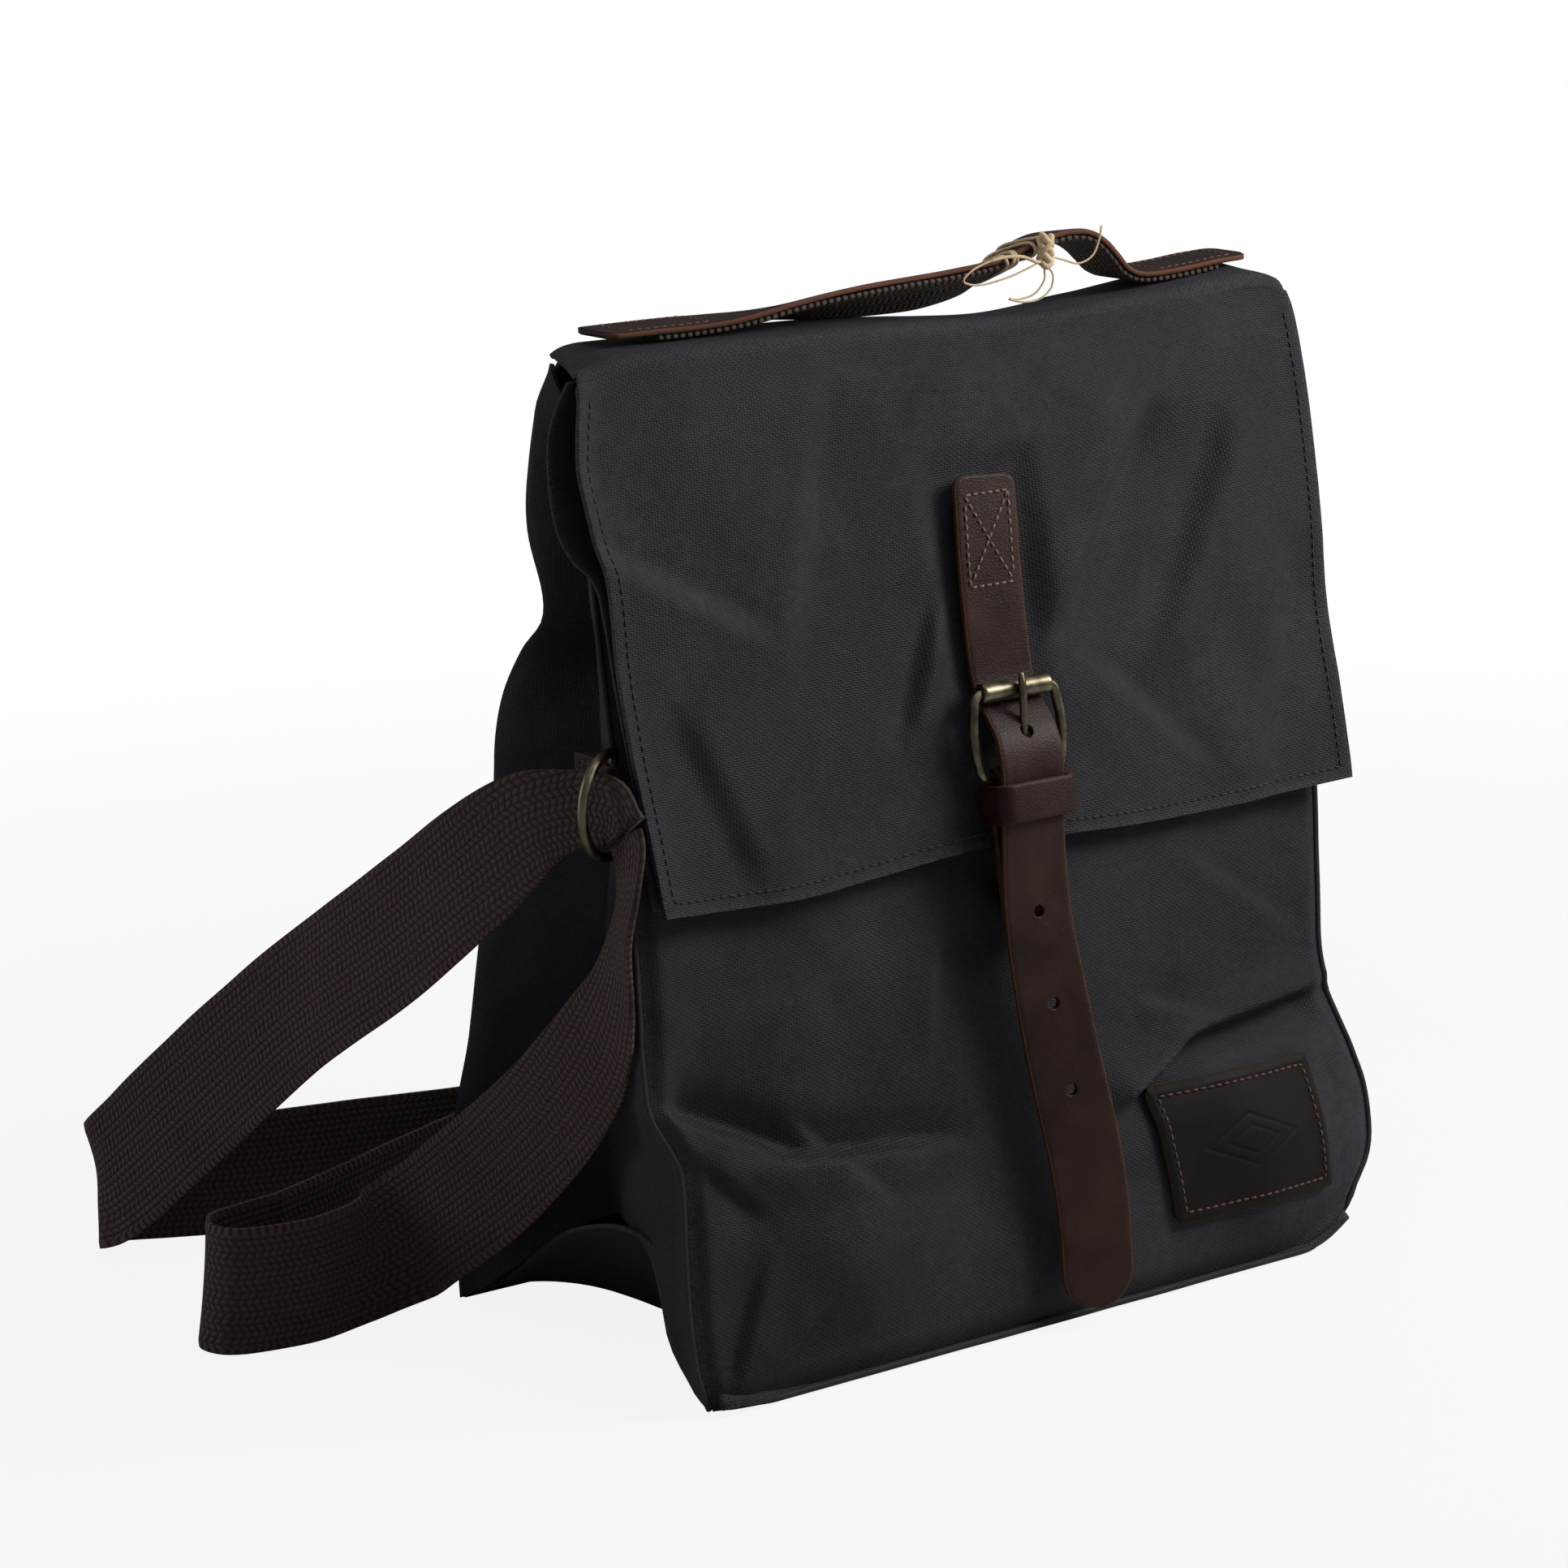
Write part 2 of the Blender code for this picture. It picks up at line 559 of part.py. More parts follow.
UP = (0, 0, 1)
LOOP_LINE = [
    ((-0.0560, 0.1500, EDGE_Z), UP, 1.0),
    ((-0.0800, 0.1455, EDGE_Z), UP, 1.0),
    ((-0.1250, 0.1280, EDGE_Z), UP, 1.0),
    ((-0.1750, 0.1080, EDGE_Z), UP, 1.0),
    ((-0.2100, 0.0965, EDGE_Z), UP, 1.0),
    ((-0.2300, 0.0940, EDGE_Z), UP, 1.0),
    ((-0.2390, 0.0905, EDGE_Z), UP, 1.0),
    ((-0.2415, 0.0840, EDGE_Z), UP, 1.0),
    ((-0.2390, 0.0760, EDGE_Z), UP, 1.0),
    ((-0.2300, 0.0710, EDGE_Z), UP, 1.0),
    ((-0.2080, 0.0690, EDGE_Z), UP, 1.0),
    ((-0.1860, 0.0730, 0.0235), UP, 1.0),
    ((-0.1700, 0.0680, 0.0310), (0.1, 0.1, 1), 1.0),
    ((-0.1610, 0.0400, 0.0540), (-0.2, 0.2, 1), 1.0),
    ((-0.1590, 0.0180, 0.0720), (-0.4, 0.5, 1), 0.95),
    ((-0.1580, -0.0030, 0.0905), (-0.5, 0.8, 0.8), 0.88),
    ((-0.1575, -0.0240, 0.1130), (-0.4, 1.0, 0.6), 0.78),
    ((-0.1570, -0.0400, 0.1370), (-0.2, 1.0, 0.4), 0.68),
    ((-0.1572, -0.0470, 0.1620), (-0.1, 1.0, 0.1), 0.60),
    ((-0.1570, -0.0500, 0.1790), (0, 1.0, 0.3), 0.54),
    ((-0.1566, -0.0490, 0.1920), (0, 0.8, 1.0), 0.53),
    ((-0.1564, -0.0425, 0.1990), (0, 0.2, 1.0), 0.53),
    ((-0.1577, -0.0350, 0.2000), UP, 0.53),
    ((-0.1608, -0.0275, 0.1995), UP, 0.55),
    ((-0.1700, -0.0120, 0.1930), UP, 0.75),
    ((-0.1790, 0.0100, 0.1740), (0.1, -0.3, 1), 0.92),
    ((-0.1880, 0.0480, 0.1440), (0.1, -0.4, 1), 1.0),
    ((-0.1985, 0.0970, 0.1090), (0.1, -0.4, 1), 1.0),
    ((-0.2090, 0.1440, 0.0700), (0, -0.3, 1), 1.0),
    ((-0.2160, 0.1740, 0.0440), (0, -0.2, 1), 1.0),
    ((-0.2200, 0.1920, 0.0290), (0, -0.05, 1), 1.0),
    ((-0.2190, 0.2010, 0.0240), UP, 1.0),
    ((-0.2120, 0.2040, EDGE_Z), UP, 1.0),
    ((-0.1950, 0.1960, EDGE_Z), UP, 1.0),
    ((-0.1650, 0.1820, EDGE_Z), UP, 1.0),
    ((-0.1280, 0.1720, EDGE_Z), UP, 1.0),
    ((-0.0900, 0.1610, EDGE_Z), UP, 1.0),
    ((-0.0560, 0.1560, EDGE_Z), UP, 1.0),
    ((-0.0300, 0.1560, EDGE_Z), UP, 1.0),
    ((0.0300, 0.1560, EDGE_Z), UP, 1.0),
    ((0.0900, 0.1540, EDGE_Z), UP, 1.0),
    ((0.1350, 0.1440, EDGE_Z), UP, 1.0),
    ((0.1620, 0.1200, 0.0240), UP, 1.0),
    ((0.1720, 0.0850, 0.0340), (0, 0.1, 1), 1.0),
    ((0.1730, 0.0600, 0.0640), (0, 0.5, 1), 1.0),
    ((0.1730, 0.0370, 0.1020), (0, 0.8, 1), 0.98),
    ((0.1730, 0.0180, 0.1370), (0, 0.8, 1), 0.92),
    ((0.1725, 0.0050, 0.1620), (0, 0.6, 1), 0.85),
    ((0.1650, -0.0010, 0.1830), (0, 0.3, 1), 0.74),
    ((0.1570, -0.0085, 0.1950), (0, 0.1, 1), 0.62),
    ((0.1520, -0.0180, 0.1990), UP, 0.54),
    ((0.1561, -0.0248, 0.2000), UP, 0.53),
    ((0.1612, -0.0284, 0.1995), UP, 0.53),
]


def build_shoulder_strap():
    """One webbing strap: sewn at the slider, through the left ring and back, on to the right ring."""
    stations = [(centre, across, WEBBING * share) for centre, across, share in LOOP_LINE]
    split = 37
    loop = ribbon("shoulder_strap_loop", stations[:split + 1], WEBBING_THICKNESS)
    add("shoulder_strap_loop", loop, WEB)
    rest = stations[split:]
    first = rest[0]
    start = Vector(first[0]) + Vector((0.0006, 0, 0))
    rest = [(tuple(start), first[1], first[2]), *rest[1:]]
    main = ribbon("shoulder_strap_main", rest, WEBBING_THICKNESS)
    add("shoulder_strap_main", main, WEB)


def build_slider():
    """A three-bar slider on the part of the strap that lies behind the bag."""
    half_z = 0.0262
    outer = round_rectangle(0.0125, half_z, 0.0030, 3)
    left = [(x - 0.0061, y) for x, y in round_rectangle(0.0036, half_z - 0.0026, 0.0014, 2)]
    right = [(x + 0.0061, y) for x, y in round_rectangle(0.0036, half_z - 0.0026, 0.0014, 2)]
    at = Matrix.Translation((-0.0350, 0.1530, half_z + 0.0004)) @ Matrix.Rotation(math.pi / 2, 4, "X")
    plate("strap_slider", [outer, left, right], 0.0024, BRASS, at)


def main():
    build_body()
    gusset("gusset_left", -1)
    gusset("gusset_right", 1)
    build_seams()
    build_flap()
    build_closure_strap()
    build_strap_stitching()
    build_buckle()
    build_prong()
    build_chape()
    build_keeper()
    build_snap()
    build_label()
    build_handle()
    build_twine()
    build_ring("ring_left", -1)
    build_ring("ring_right", 1)
    build_ring_tab("ring_tab_left", -1)
    build_ring_tab("ring_tab_right", 1)
    build_shoulder_strap()
    build_slider()


main()
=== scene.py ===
"""Waxed-canvas messenger bag: cloth, leather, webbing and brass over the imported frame."""

import math

import bmesh
import bpy
import numpy as np
from mathutils import Matrix, Vector, noise


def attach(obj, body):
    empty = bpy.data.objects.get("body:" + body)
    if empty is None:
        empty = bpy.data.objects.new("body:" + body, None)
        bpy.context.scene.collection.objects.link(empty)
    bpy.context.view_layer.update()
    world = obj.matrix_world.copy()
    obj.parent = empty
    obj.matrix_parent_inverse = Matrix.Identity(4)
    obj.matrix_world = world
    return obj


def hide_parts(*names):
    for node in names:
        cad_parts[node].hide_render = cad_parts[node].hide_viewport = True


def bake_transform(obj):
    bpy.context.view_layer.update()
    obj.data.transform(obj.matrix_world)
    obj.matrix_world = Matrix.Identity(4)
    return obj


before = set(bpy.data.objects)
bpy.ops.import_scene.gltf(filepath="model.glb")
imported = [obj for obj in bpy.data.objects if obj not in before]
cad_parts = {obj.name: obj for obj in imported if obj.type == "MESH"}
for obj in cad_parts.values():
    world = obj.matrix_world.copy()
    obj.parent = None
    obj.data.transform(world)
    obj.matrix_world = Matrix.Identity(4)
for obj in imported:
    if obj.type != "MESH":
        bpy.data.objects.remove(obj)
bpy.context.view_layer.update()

LEAN = math.radians(10)
SIN, COS = math.sin(LEAN), math.cos(LEAN)
BASE_Y = -0.075
OUT = Vector((0, -COS, SIN))
RISE = Vector((0, SIN, COS))


# ---------------------------------------------------------------- shaping helpers


def front(u, v, n):
    """A point on the leaning front: u across, v up the slope, n out of it."""
    return Vector((u, BASE_Y + SIN * v - COS * n, COS * v + SIN * n))


def ease(x):
    x = min(max(x, 0.0), 1.0)
    return x * x * (3 - 2 * x)


def bump(x, centre, half):
    """1 at the centre, 0 beyond half on each side."""
    return ease(1 - abs(x - centre) / half)


def table(points, x):
    """Smooth reading of a short table of (x, value) pairs."""
    if x <= points[0][0]:
        return points[0][1]
    for i in range(len(points) - 1):
        x0, y0 = points[i]
        x1, y1 = points[i + 1]
        if x <= x1:
            before = points[max(i - 1, 0)]
            after = points[min(i + 2, len(points) - 1)]
            m0 = (y1 - before[1]) / max(x1 - before[0], 1e-9)
            m1 = (after[1] - y0) / max(after[0] - x0, 1e-9)
            t, h = (x - x0) / (x1 - x0), x1 - x0
            return (
                (2 * t**3 - 3 * t**2 + 1) * y0
                + (t**3 - 2 * t**2 + t) * h * m0
                + (-2 * t**3 + 3 * t**2) * y1
                + (t**3 - t**2) * h * m1
            )
    return points[-1][1]


def rumple(u, v, size, seed):
    """Soft cloth noise from -1 to 1, with features of about that size in metres."""
    return noise.noise(Vector((u / size, v / size, seed)))


def fold(u, v, a, b, depth, width, valley=0.0):
    """A fold along the line a-b: a ridge on its right side and a hollow on its left."""
    du, dv = b[0] - a[0], b[1] - a[1]
    length = math.hypot(du, dv)
    along = ((u - a[0]) * du + (v - a[1]) * dv) / (length * length)
    off = ((u - a[0]) * dv - (v - a[1]) * du) / length
    fade = ease((along + 0.15) / 0.35) * ease((1.15 - along) / 0.45)
    r, near = off / width, off / (0.36 * width)
    broad = math.exp(-r * r) * (depth * 1.6 * r - valley)
    return fade * (broad + 0.75 * depth * 1.6 * near * math.exp(-near * near))


# ---------------------------------------------------------------- mesh helpers


def link(mesh, name, finish=None):
    piece = bpy.data.objects.new(name, mesh)
    bpy.context.scene.collection.objects.link(piece)
    if finish is not None:
        mesh.materials.append(finish)
    return piece


def smooth(mesh):
    mesh.polygons.foreach_set("use_smooth", [True] * len(mesh.polygons))


def build(name, points, faces, finish=None, flat=None, wear=None, outward=False, rounded=True):
    """A piece from points and faces, with cloth coordinates and wear where it has them."""
    mesh = bpy.data.meshes.new(name)
    mesh.from_pydata(points, [], faces)
    if flat is not None:
        index = np.empty(len(mesh.loops), int)
        mesh.loops.foreach_get("vertex_index", index)
        uv = mesh.uv_layers.new(name="cloth")
        uv.data.foreach_set("uv", np.array(flat, np.float32)[index].ravel())
    if wear is not None:
        mesh.attributes.new("wear", "FLOAT", "POINT").data.foreach_set("value", wear)
    if rounded:
        smooth(mesh)
    if outward:
        work = bmesh.new()
        work.from_mesh(mesh)
        bmesh.ops.recalc_face_normals(work, faces=work.faces)
        work.to_mesh(mesh)
        work.free()
    return link(mesh, name, finish)


def ring_faces(count, size, closed=False, flipped=False):
    """Faces between neighbouring rings of points, for count rings of that size."""
    faces = []
    for i in range(count if closed else count - 1):
        here, there = i * size, (i + 1) % count * size
        for k in range(size):
            nxt = (k + 1) % size
            face = (here + k, here + nxt, there + nxt, there + k)
            faces.append((face[0], *face[:0:-1]) if flipped else face)
    return faces


def settle(piece):
    """Applies the piece's modifiers, so that its mesh is final."""
    bpy.context.view_layer.update()
    graph = bpy.context.evaluated_depsgraph_get()
    made = bpy.data.meshes.new_from_object(piece.evaluated_get(graph))
    old = piece.data
    piece.modifiers.clear()
    piece.data = made
    bpy.data.meshes.remove(old)
    return piece


def modifier(piece, kind, **values):
    made = piece.modifiers.new(kind.lower(), kind)
    for key, value in values.items():
        setattr(made, key, value)
    return made


def carve(piece, tools, bevel=0.0):
    """Cuts the tools out of a piece, rounds its edges, and removes the tools."""
    for tool in tools:
        modifier(piece, "BOOLEAN", operation="DIFFERENCE", solver="EXACT", object=tool)
    if bevel:
        modifier(piece, "BEVEL", width=bevel, segments=2, limit_method="ANGLE", angle_limit=math.radians(40))
    settle(piece)
    for tool in tools:
        bpy.data.objects.remove(tool, do_unlink=True)


def capped(faces, count, size):
    """The faces with the first and the last ring of that size closed, for count points in all."""
    return faces + [tuple(range(size)), tuple(reversed(range(count - size, count)))]


def path_along(corners, steps):
    """That many evenly spaced points on each side of a line through the corners."""
    spots = []
    for (ax, ay), (bx, by) in zip(corners, corners[1:]):
        for i in range(steps):
            share = i / (steps - 1)
            spots.append((ax + (bx - ax) * share, ay + (by - ay) * share))
    return spots


def rectangle(half_x, half_y):
    """The corners of a closed rectangle about the origin, from its top left."""
    return [(-half_x, half_y), (half_x, half_y), (half_x, -half_y), (-half_x, -half_y), (-half_x, half_y)]


def cloth(name, rows, columns, place, thickness, finish, rounded=True):
    """A sheet from place(s, t) -> (point, (x, y) on the flat cloth, wear), given a thickness."""
    points, flat, wear = [], [], []
    for i in range(rows + 1):
        for j in range(columns + 1):
            point, on_cloth, worn = place(j / columns, i / rows)
            points.append(point)
            flat.append(on_cloth)
            wear.append(worn)
    across = columns + 1
    faces = []
    for i in range(rows):
        for j in range(columns):
            a = i * across + j
            faces.append((a, a + 1, a + across + 1, a + across))
    piece = build(name, points, faces, finish, flat, wear)
    modifier(piece, "SOLIDIFY", thickness=thickness, offset=-1.0)
    if rounded:
        modifier(piece, "BEVEL", width=thickness * 0.3, segments=2, limit_method="ANGLE",
                 angle_limit=math.radians(50))
    return settle(piece)


def tube(name, line, radius, finish, closed=False, sides=12):
    """A round rod along a line. radius is a number, or a function of the share along."""
    line = [Vector(p) for p in line]
    count = len(line)
    points, side = [], None
    for i, point in enumerate(line):
        before = line[i - 1] if (i or closed) else point
        after = line[(i + 1) % count] if (i < count - 1 or closed) else point
        along = (after - before).normalized()
        if side is None:
            side = along.orthogonal().normalized()
        side = (side - along * side.dot(along)).normalized()
        other = along.cross(side)
        size = radius(i / (count - 1)) if callable(radius) else radius
        for k in range(sides):
            angle = 2 * math.pi * k / sides
            points.append(point + size * (math.cos(angle) * side + math.sin(angle) * other))
    faces = ring_faces(count, sides, closed)
    if not closed:
        faces.append(tuple(reversed(range(sides))))
        faces.append(tuple(range((count - 1) * sides, count * sides)))
    return build(name, points, faces, finish)


def spline(points, steps):
    """A smooth line of that many steps through the points, evenly spaced."""
    points = [np.array(p, float) for p in points]
    padded = [2 * points[0] - points[1], *points, 2 * points[-1] - points[-2]]
    dense = []
    for i in range(1, len(padded) - 2):
        p0, p1, p2, p3 = padded[i - 1:i + 3]
        for k in range(12):
            t = k / 12
            dense.append(0.5 * (2 * p1 + (p2 - p0) * t + (2 * p0 - 5 * p1 + 4 * p2 - p3) * t * t
                                + (3 * p1 - p0 - 3 * p2 + p3) * t**3))
    dense.append(points[-1])
    dense = np.array(dense)
    gaps = np.linalg.norm(np.diff(dense[:, :3], axis=0), axis=1)
    along = np.concatenate([[0], np.cumsum(gaps)])
    at = np.linspace(0, along[-1], steps + 1)
    return np.stack([np.interp(at, along, dense[:, k]) for k in range(dense.shape[1])], axis=1)


def band(name, stations, thickness, finish, columns=14, steps=160, crown=0.0, soft=0.0,
         seed=1.0, end_round=(0.0, 0.0), edge=0.3, bend=0.0):
    """A flat strap through stations of (centre, direction across, width).

    Its cross-section has rounded edges. It keeps coordinates in metres along and across it,
    a wear value that rises towards its long edges, and end_round rounds its two ends off."""
    rows = spline([(*c, *a, w) for c, a, w in stations], steps)
    centres = rows[:, :3]
    gaps = np.linalg.norm(np.diff(centres, axis=0), axis=1)
    along_m = np.concatenate([[0], np.cumsum(gaps)])
    total = along_m[-1]
    inner = [0.84 * (-1 + 2 * k / columns) for k in range(columns + 1)]
    section = [-1.0, -0.985, -0.95, -0.90, *inner, 0.90, 0.95, 0.985, 1.0]
    columns = len(section) - 1
    points, flat, wear = [], [], []
    for i in range(steps + 1):
        tangent = Vector(centres[min(i + 1, steps)] - centres[max(i - 1, 0)]).normalized()
        across = Vector(rows[i, 3:6])
        across = (across - tangent * across.dot(tangent)).normalized()
        out = tangent.cross(across)
        width = rows[i, 6]
        for end, size in enumerate(end_round):
            gap = along_m[i] if end == 0 else total - along_m[i]
            if size and gap < size:
                width = max(width - 2 * size * (1 - math.sqrt(max(1 - (1 - gap / size) ** 2, 0))), 0.0006)
        centre = Vector(centres[i])
        for face in (1, -1):
            for x in section:
                x *= face
                taper = 1 - edge * ease((abs(x) - 0.90) / 0.10)
                lift = crown * (1 - x * x) + soft * rumple(along_m[i], x * width / 2, 0.022, seed)
                lift += bend * x * x
                spot = centre + across * (x * width / 2) + out * (lift + face * thickness / 2 * taper)
                points.append(spot)
                flat.append((along_m[i], x * width / 2))
                wear.append(ease((abs(x) - 0.92) / 0.065))
    ring = 2 * (columns + 1)
    faces = ring_faces(steps + 1, ring)
    for start, order in ((0, 1), (steps * ring, -1)):
        for k in range(columns):
            quad = (start + k, start + k + 1, start + ring - 2 - k, start + ring - 1 - k)
            faces.append(quad[::-1] if order > 0 else quad)
    piece = build(name, points, faces, finish, flat, wear, outward=True)
    piece["length_m"] = float(total)
    return piece


def stitches(name, line, finish, pitch=0.0033, length=0.0024, radius=0.00032, sink=0.3, out=None):
    """Separate stitches of thread along a line of points, with out the direction off the surface."""
    line = np.array([tuple(p) for p in line], float)
    gaps = np.linalg.norm(np.diff(line, axis=0), axis=1)
    along = np.concatenate([[0], np.cumsum(gaps)])
    points, faces = [], []
    for number in range(int(along[-1] / pitch)):
        middle = (number + 0.5) * pitch
        ends = [np.array([np.interp(middle + d, along, line[:, k]) for k in range(3)])
                for d in (-length / 2, length / 2)]
        a, b = Vector(ends[0]), Vector(ends[1])
        axis = (b - a).normalized()
        up = Vector(out(middle / along[-1]) if callable(out) else out).normalized()
        up = (up - axis * up.dot(axis)).normalized()
        side = axis.cross(up)
        base = len(points)
        for share, size, lift in ((0, 0.35, -0.9), (0.14, 0.85, 0.1), (0.5, 1.0, sink),
                                  (0.86, 0.85, 0.1), (1, 0.35, -0.9)):
            centre = a.lerp(b, share) + up * radius * lift
            for k in range(6):
                angle = 2 * math.pi * k / 6
                points.append(centre + radius * size * (math.cos(angle) * side + math.sin(angle) * up))
        whole = [*ring_faces(5, 6), tuple(reversed(range(6))), tuple(range(24, 30))]
        faces += [tuple(base + k for k in face) for face in whole]
    return build(name, points, faces, finish)


# ---------------------------------------------------------------- materials


def socket(tree, name, kind, value=None, output=False):
    made = tree.interface.new_socket(
        name=name, in_out="OUTPUT" if output else "INPUT", socket_type="NodeSocket" + kind)
    if value is not None:
        made.default_value = value
    return made


class Net:
    """Short words for building a node tree."""

    def __init__(self, tree):
        self.tree = tree

    def add(self, kind, inputs=None, **settings):
        node = self.tree.nodes.new(kind)
        for key, value in settings.items():
            setattr(node, key, value)
        for key, value in (inputs or {}).items():
            self.put(node.inputs[key], value)
        return node

    def put(self, target, value):
        if isinstance(value, bpy.types.NodeSocket):
            self.tree.links.new(value, target)
        else:
            target.default_value = value

    def math(self, operation, a, b=0.0, c=0.0):
        node = self.add("ShaderNodeMath", operation=operation)
        for target, value in zip(node.inputs, (a, b, c)):
            self.put(target, value)
        return node.outputs[0]

    def mix(self, share, a, b, blend="MIX"):
        node = self.add("ShaderNodeMix", data_type="RGBA", blend_type=blend)
        self.put(node.inputs[0], share)
        self.put(node.inputs[6], a)
        self.put(node.inputs[7], b)
        return node.outputs[2]

    def noise(self, vector, scale, detail=3.0, rough=0.55, distortion=0.0):
        node = self.add("ShaderNodeTexNoise", {"Vector": vector, "Scale": scale, "Detail": detail,
                                               "Roughness": rough, "Distortion": distortion})
        return node.outputs[0]

    def ramp(self, value, low, high):
        node = self.add("ShaderNodeMapRange", {0: value, 1: low, 2: high, 3: 0.0, 4: 1.0}, clamp=True)
        return node.outputs[0]

    def group(self, tree, inputs):
        node = self.add("ShaderNodeGroup")
        node.node_tree = tree
        for key, value in inputs.items():
            self.put(node.inputs[key], value)
        return node.outputs


def new_group(name, inputs, outputs):
    tree = bpy.data.node_groups.new(name, "ShaderNodeTree")
    for label, kind, value in inputs:
        socket(tree, label, kind, value)
    for label, kind in outputs:
        socket(tree, label, kind, output=True)
    net = Net(tree)
    return net, net.add("NodeGroupInput").outputs, net.add("NodeGroupOutput").inputs


def canvas_weave_group():
    """Plain canvas weave: crossing threads with uneven thickness. Height, and a shade value that is partly
    uneven slub tone and partly painted shade, lighter on the raised threads and darker between them.
    """
    net, given, out = new_group(
        "canvas weave", [("Cloth", "Vector", None), ("Pitch", "Float", 0.0011)],
        [("Height", "Float"), ("Shade", "Float")])
    wobble = net.noise(given["Cloth"], 160.0, 2.0)
    split = net.add("ShaderNodeSeparateXYZ", {0: given["Cloth"]}).outputs
    step = net.math("DIVIDE", math.pi, given["Pitch"])
    shift = net.math("MULTIPLY", wobble, 1.5)
    x = net.math("ADD", net.math("MULTIPLY", split[0], net.math("MULTIPLY", step, 0.85)), shift)
    y = net.math("SUBTRACT", net.math("MULTIPLY", split[1], net.math("MULTIPLY", step, 1.15)), shift)
    warp = net.math("MULTIPLY", net.math("ABSOLUTE", net.math("SINE", x)), 0.55)
    weft = net.math("ABSOLUTE", net.math("SINE", y))
    over = net.ramp(net.math("MULTIPLY", net.math("COSINE", x), net.math("COSINE", y)), -0.6, 0.6)
    height = net.math("ADD", net.math("MULTIPLY", warp, over),
                      net.math("MULTIPLY", weft, net.math("SUBTRACT", 1.0, over)))
    net.put(out["Height"], height)
    slub = net.noise(given["Cloth"], 420.0, 2.0)
    # Shade: half uneven slub tone, half the thread height, which paints light on the raised threads and shade
    # in the gaps between them.
    net.put(out["Shade"], net.math("MULTIPLY_ADD", slub, 0.5, net.math("MULTIPLY", height, 0.5)))
    return net.tree


def webbing_weave_group():
    """Strong cotton webbing: staggered cells in slanted rows between ribbed edges."""
    net, given, out = new_group(
        "webbing weave",
        [("Cloth", "Vector", None), ("Cell", "Float", 0.0026), ("Half Width", "Float", 0.0225)],
        [("Height", "Float"), ("Shade", "Float")])
    split = net.add("ShaderNodeSeparateXYZ", {0: given["Cloth"]}).outputs
    step = net.math("DIVIDE", math.pi, given["Cell"])
    drift = net.math("MULTIPLY", net.noise(given["Cloth"], 60.0, 1.0), 1.2)
    x = net.math("ADD", net.math("MULTIPLY", split[0], step), drift)
    y = net.math("MULTIPLY", split[1], net.math("MULTIPLY", step, 1.1))
    slant = net.math("MULTIPLY", net.math("PINGPONG", net.math("MULTIPLY", y, 0.32), 1.6), 1.5)
    cells = net.math("MULTIPLY", net.math("SINE", net.math("ADD", x, slant)), net.math("SINE", y))
    cells = net.math("ABSOLUTE", cells)
    cells = net.math("POWER", cells, 0.6)
    ribs = net.math("ABSOLUTE", net.math("SINE", net.math("MULTIPLY", x, 0.9)))
    edge = net.ramp(net.math("ABSOLUTE", split[1]), net.math("MULTIPLY", given["Half Width"], 0.88),
                    net.math("MULTIPLY", given["Half Width"], 0.92))
    height = net.math("ADD", net.math("MULTIPLY", cells, net.math("SUBTRACT", 1.0, edge)),
                      net.math("MULTIPLY", ribs, edge))
    fuzz = net.noise(given["Cloth"], 900.0, 3.0)
    net.put(out["Height"], net.math("MULTIPLY_ADD", fuzz, 0.12, height))
    # Shade is mostly the weave height, so it paints light on the raised cells and ribs and shade in the
    # hollows; the rest is uneven fuzz tone.
    net.put(out["Shade"], net.math("MULTIPLY_ADD", fuzz, 0.20, net.math("MULTIPLY", height, 0.80)))
    return net.tree


def grain_group():
    """Leather grain: fine pores and broad creases. Height and mottling."""
    net, given, out = new_group(
        "leather grain", [("Vector", "Vector", None), ("Fineness", "Float", 1.0)],
        [("Height", "Float"), ("Mottle", "Float"), ("Scratch", "Float")])
    scale = net.math("MULTIPLY", given["Fineness"], 900.0)
    pores = net.add("ShaderNodeTexVoronoi", {"Vector": given["Vector"], "Scale": scale},
                    feature="DISTANCE_TO_EDGE").outputs[0]
    pores = net.ramp(pores, 0.0, 0.25)
    creases = net.noise(given["Vector"], 260.0, 4.0, 0.6)
    net.put(out["Height"], net.math("MULTIPLY_ADD", creases, 0.8, net.math("MULTIPLY", pores, 0.5)))
    broad = net.noise(given["Vector"], 28.0, 5.0, 0.62, 0.6)
    net.put(out["Mottle"], net.ramp(broad, 0.34, 0.68))
    stretch = net.add("ShaderNodeMapping", {"Vector": given["Vector"], "Scale": (1.0, 9.0, 1.0),
                                            "Rotation": (0.3, 0.2, 0.5)}).outputs[0]
    lines = net.noise(stretch, 190.0, 4.0, 0.7)
    net.put(out["Scratch"], net.ramp(lines, 0.63, 0.78))
    return net.tree


def dust_group():
    """Pale rubbed dust and lint that settles unevenly. A mask."""
    net, given, out = new_group(
        "rubbed dust", [("Vector", "Vector", None), ("Spread", "Float", 9.0)], [("Mask", "Float")])
    broad = net.noise(given["Vector"], given["Spread"], 4.0, 0.6, 0.4)
    fine = net.noise(given["Vector"], 230.0, 4.0, 0.7)
    net.put(out["Mask"], net.math("MULTIPLY", net.ramp(broad, 0.45, 0.72), net.ramp(fine, 0.30, 0.75)))
    return net.tree


CANVAS_WEAVE = canvas_weave_group()
WEBBING_WEAVE = webbing_weave_group()
GRAIN = grain_group()
DUST = dust_group()


def start_material(name, roughness, **fixed):
    made = bpy.data.materials.new(name)
    made.use_nodes = True
    net = Net(made.node_tree)
    shader = made.node_tree.nodes["Principled BSDF"]
    shader.inputs["Roughness"].default_value = roughness
    for key, value in fixed.items():
        shader.inputs[key.replace("_", " ")].default_value = value
    spot = net.add("ShaderNodeTexCoord").outputs
    return made, net, shader, spot


def rgb(r, g, b):
    return (r, g, b, 1.0)


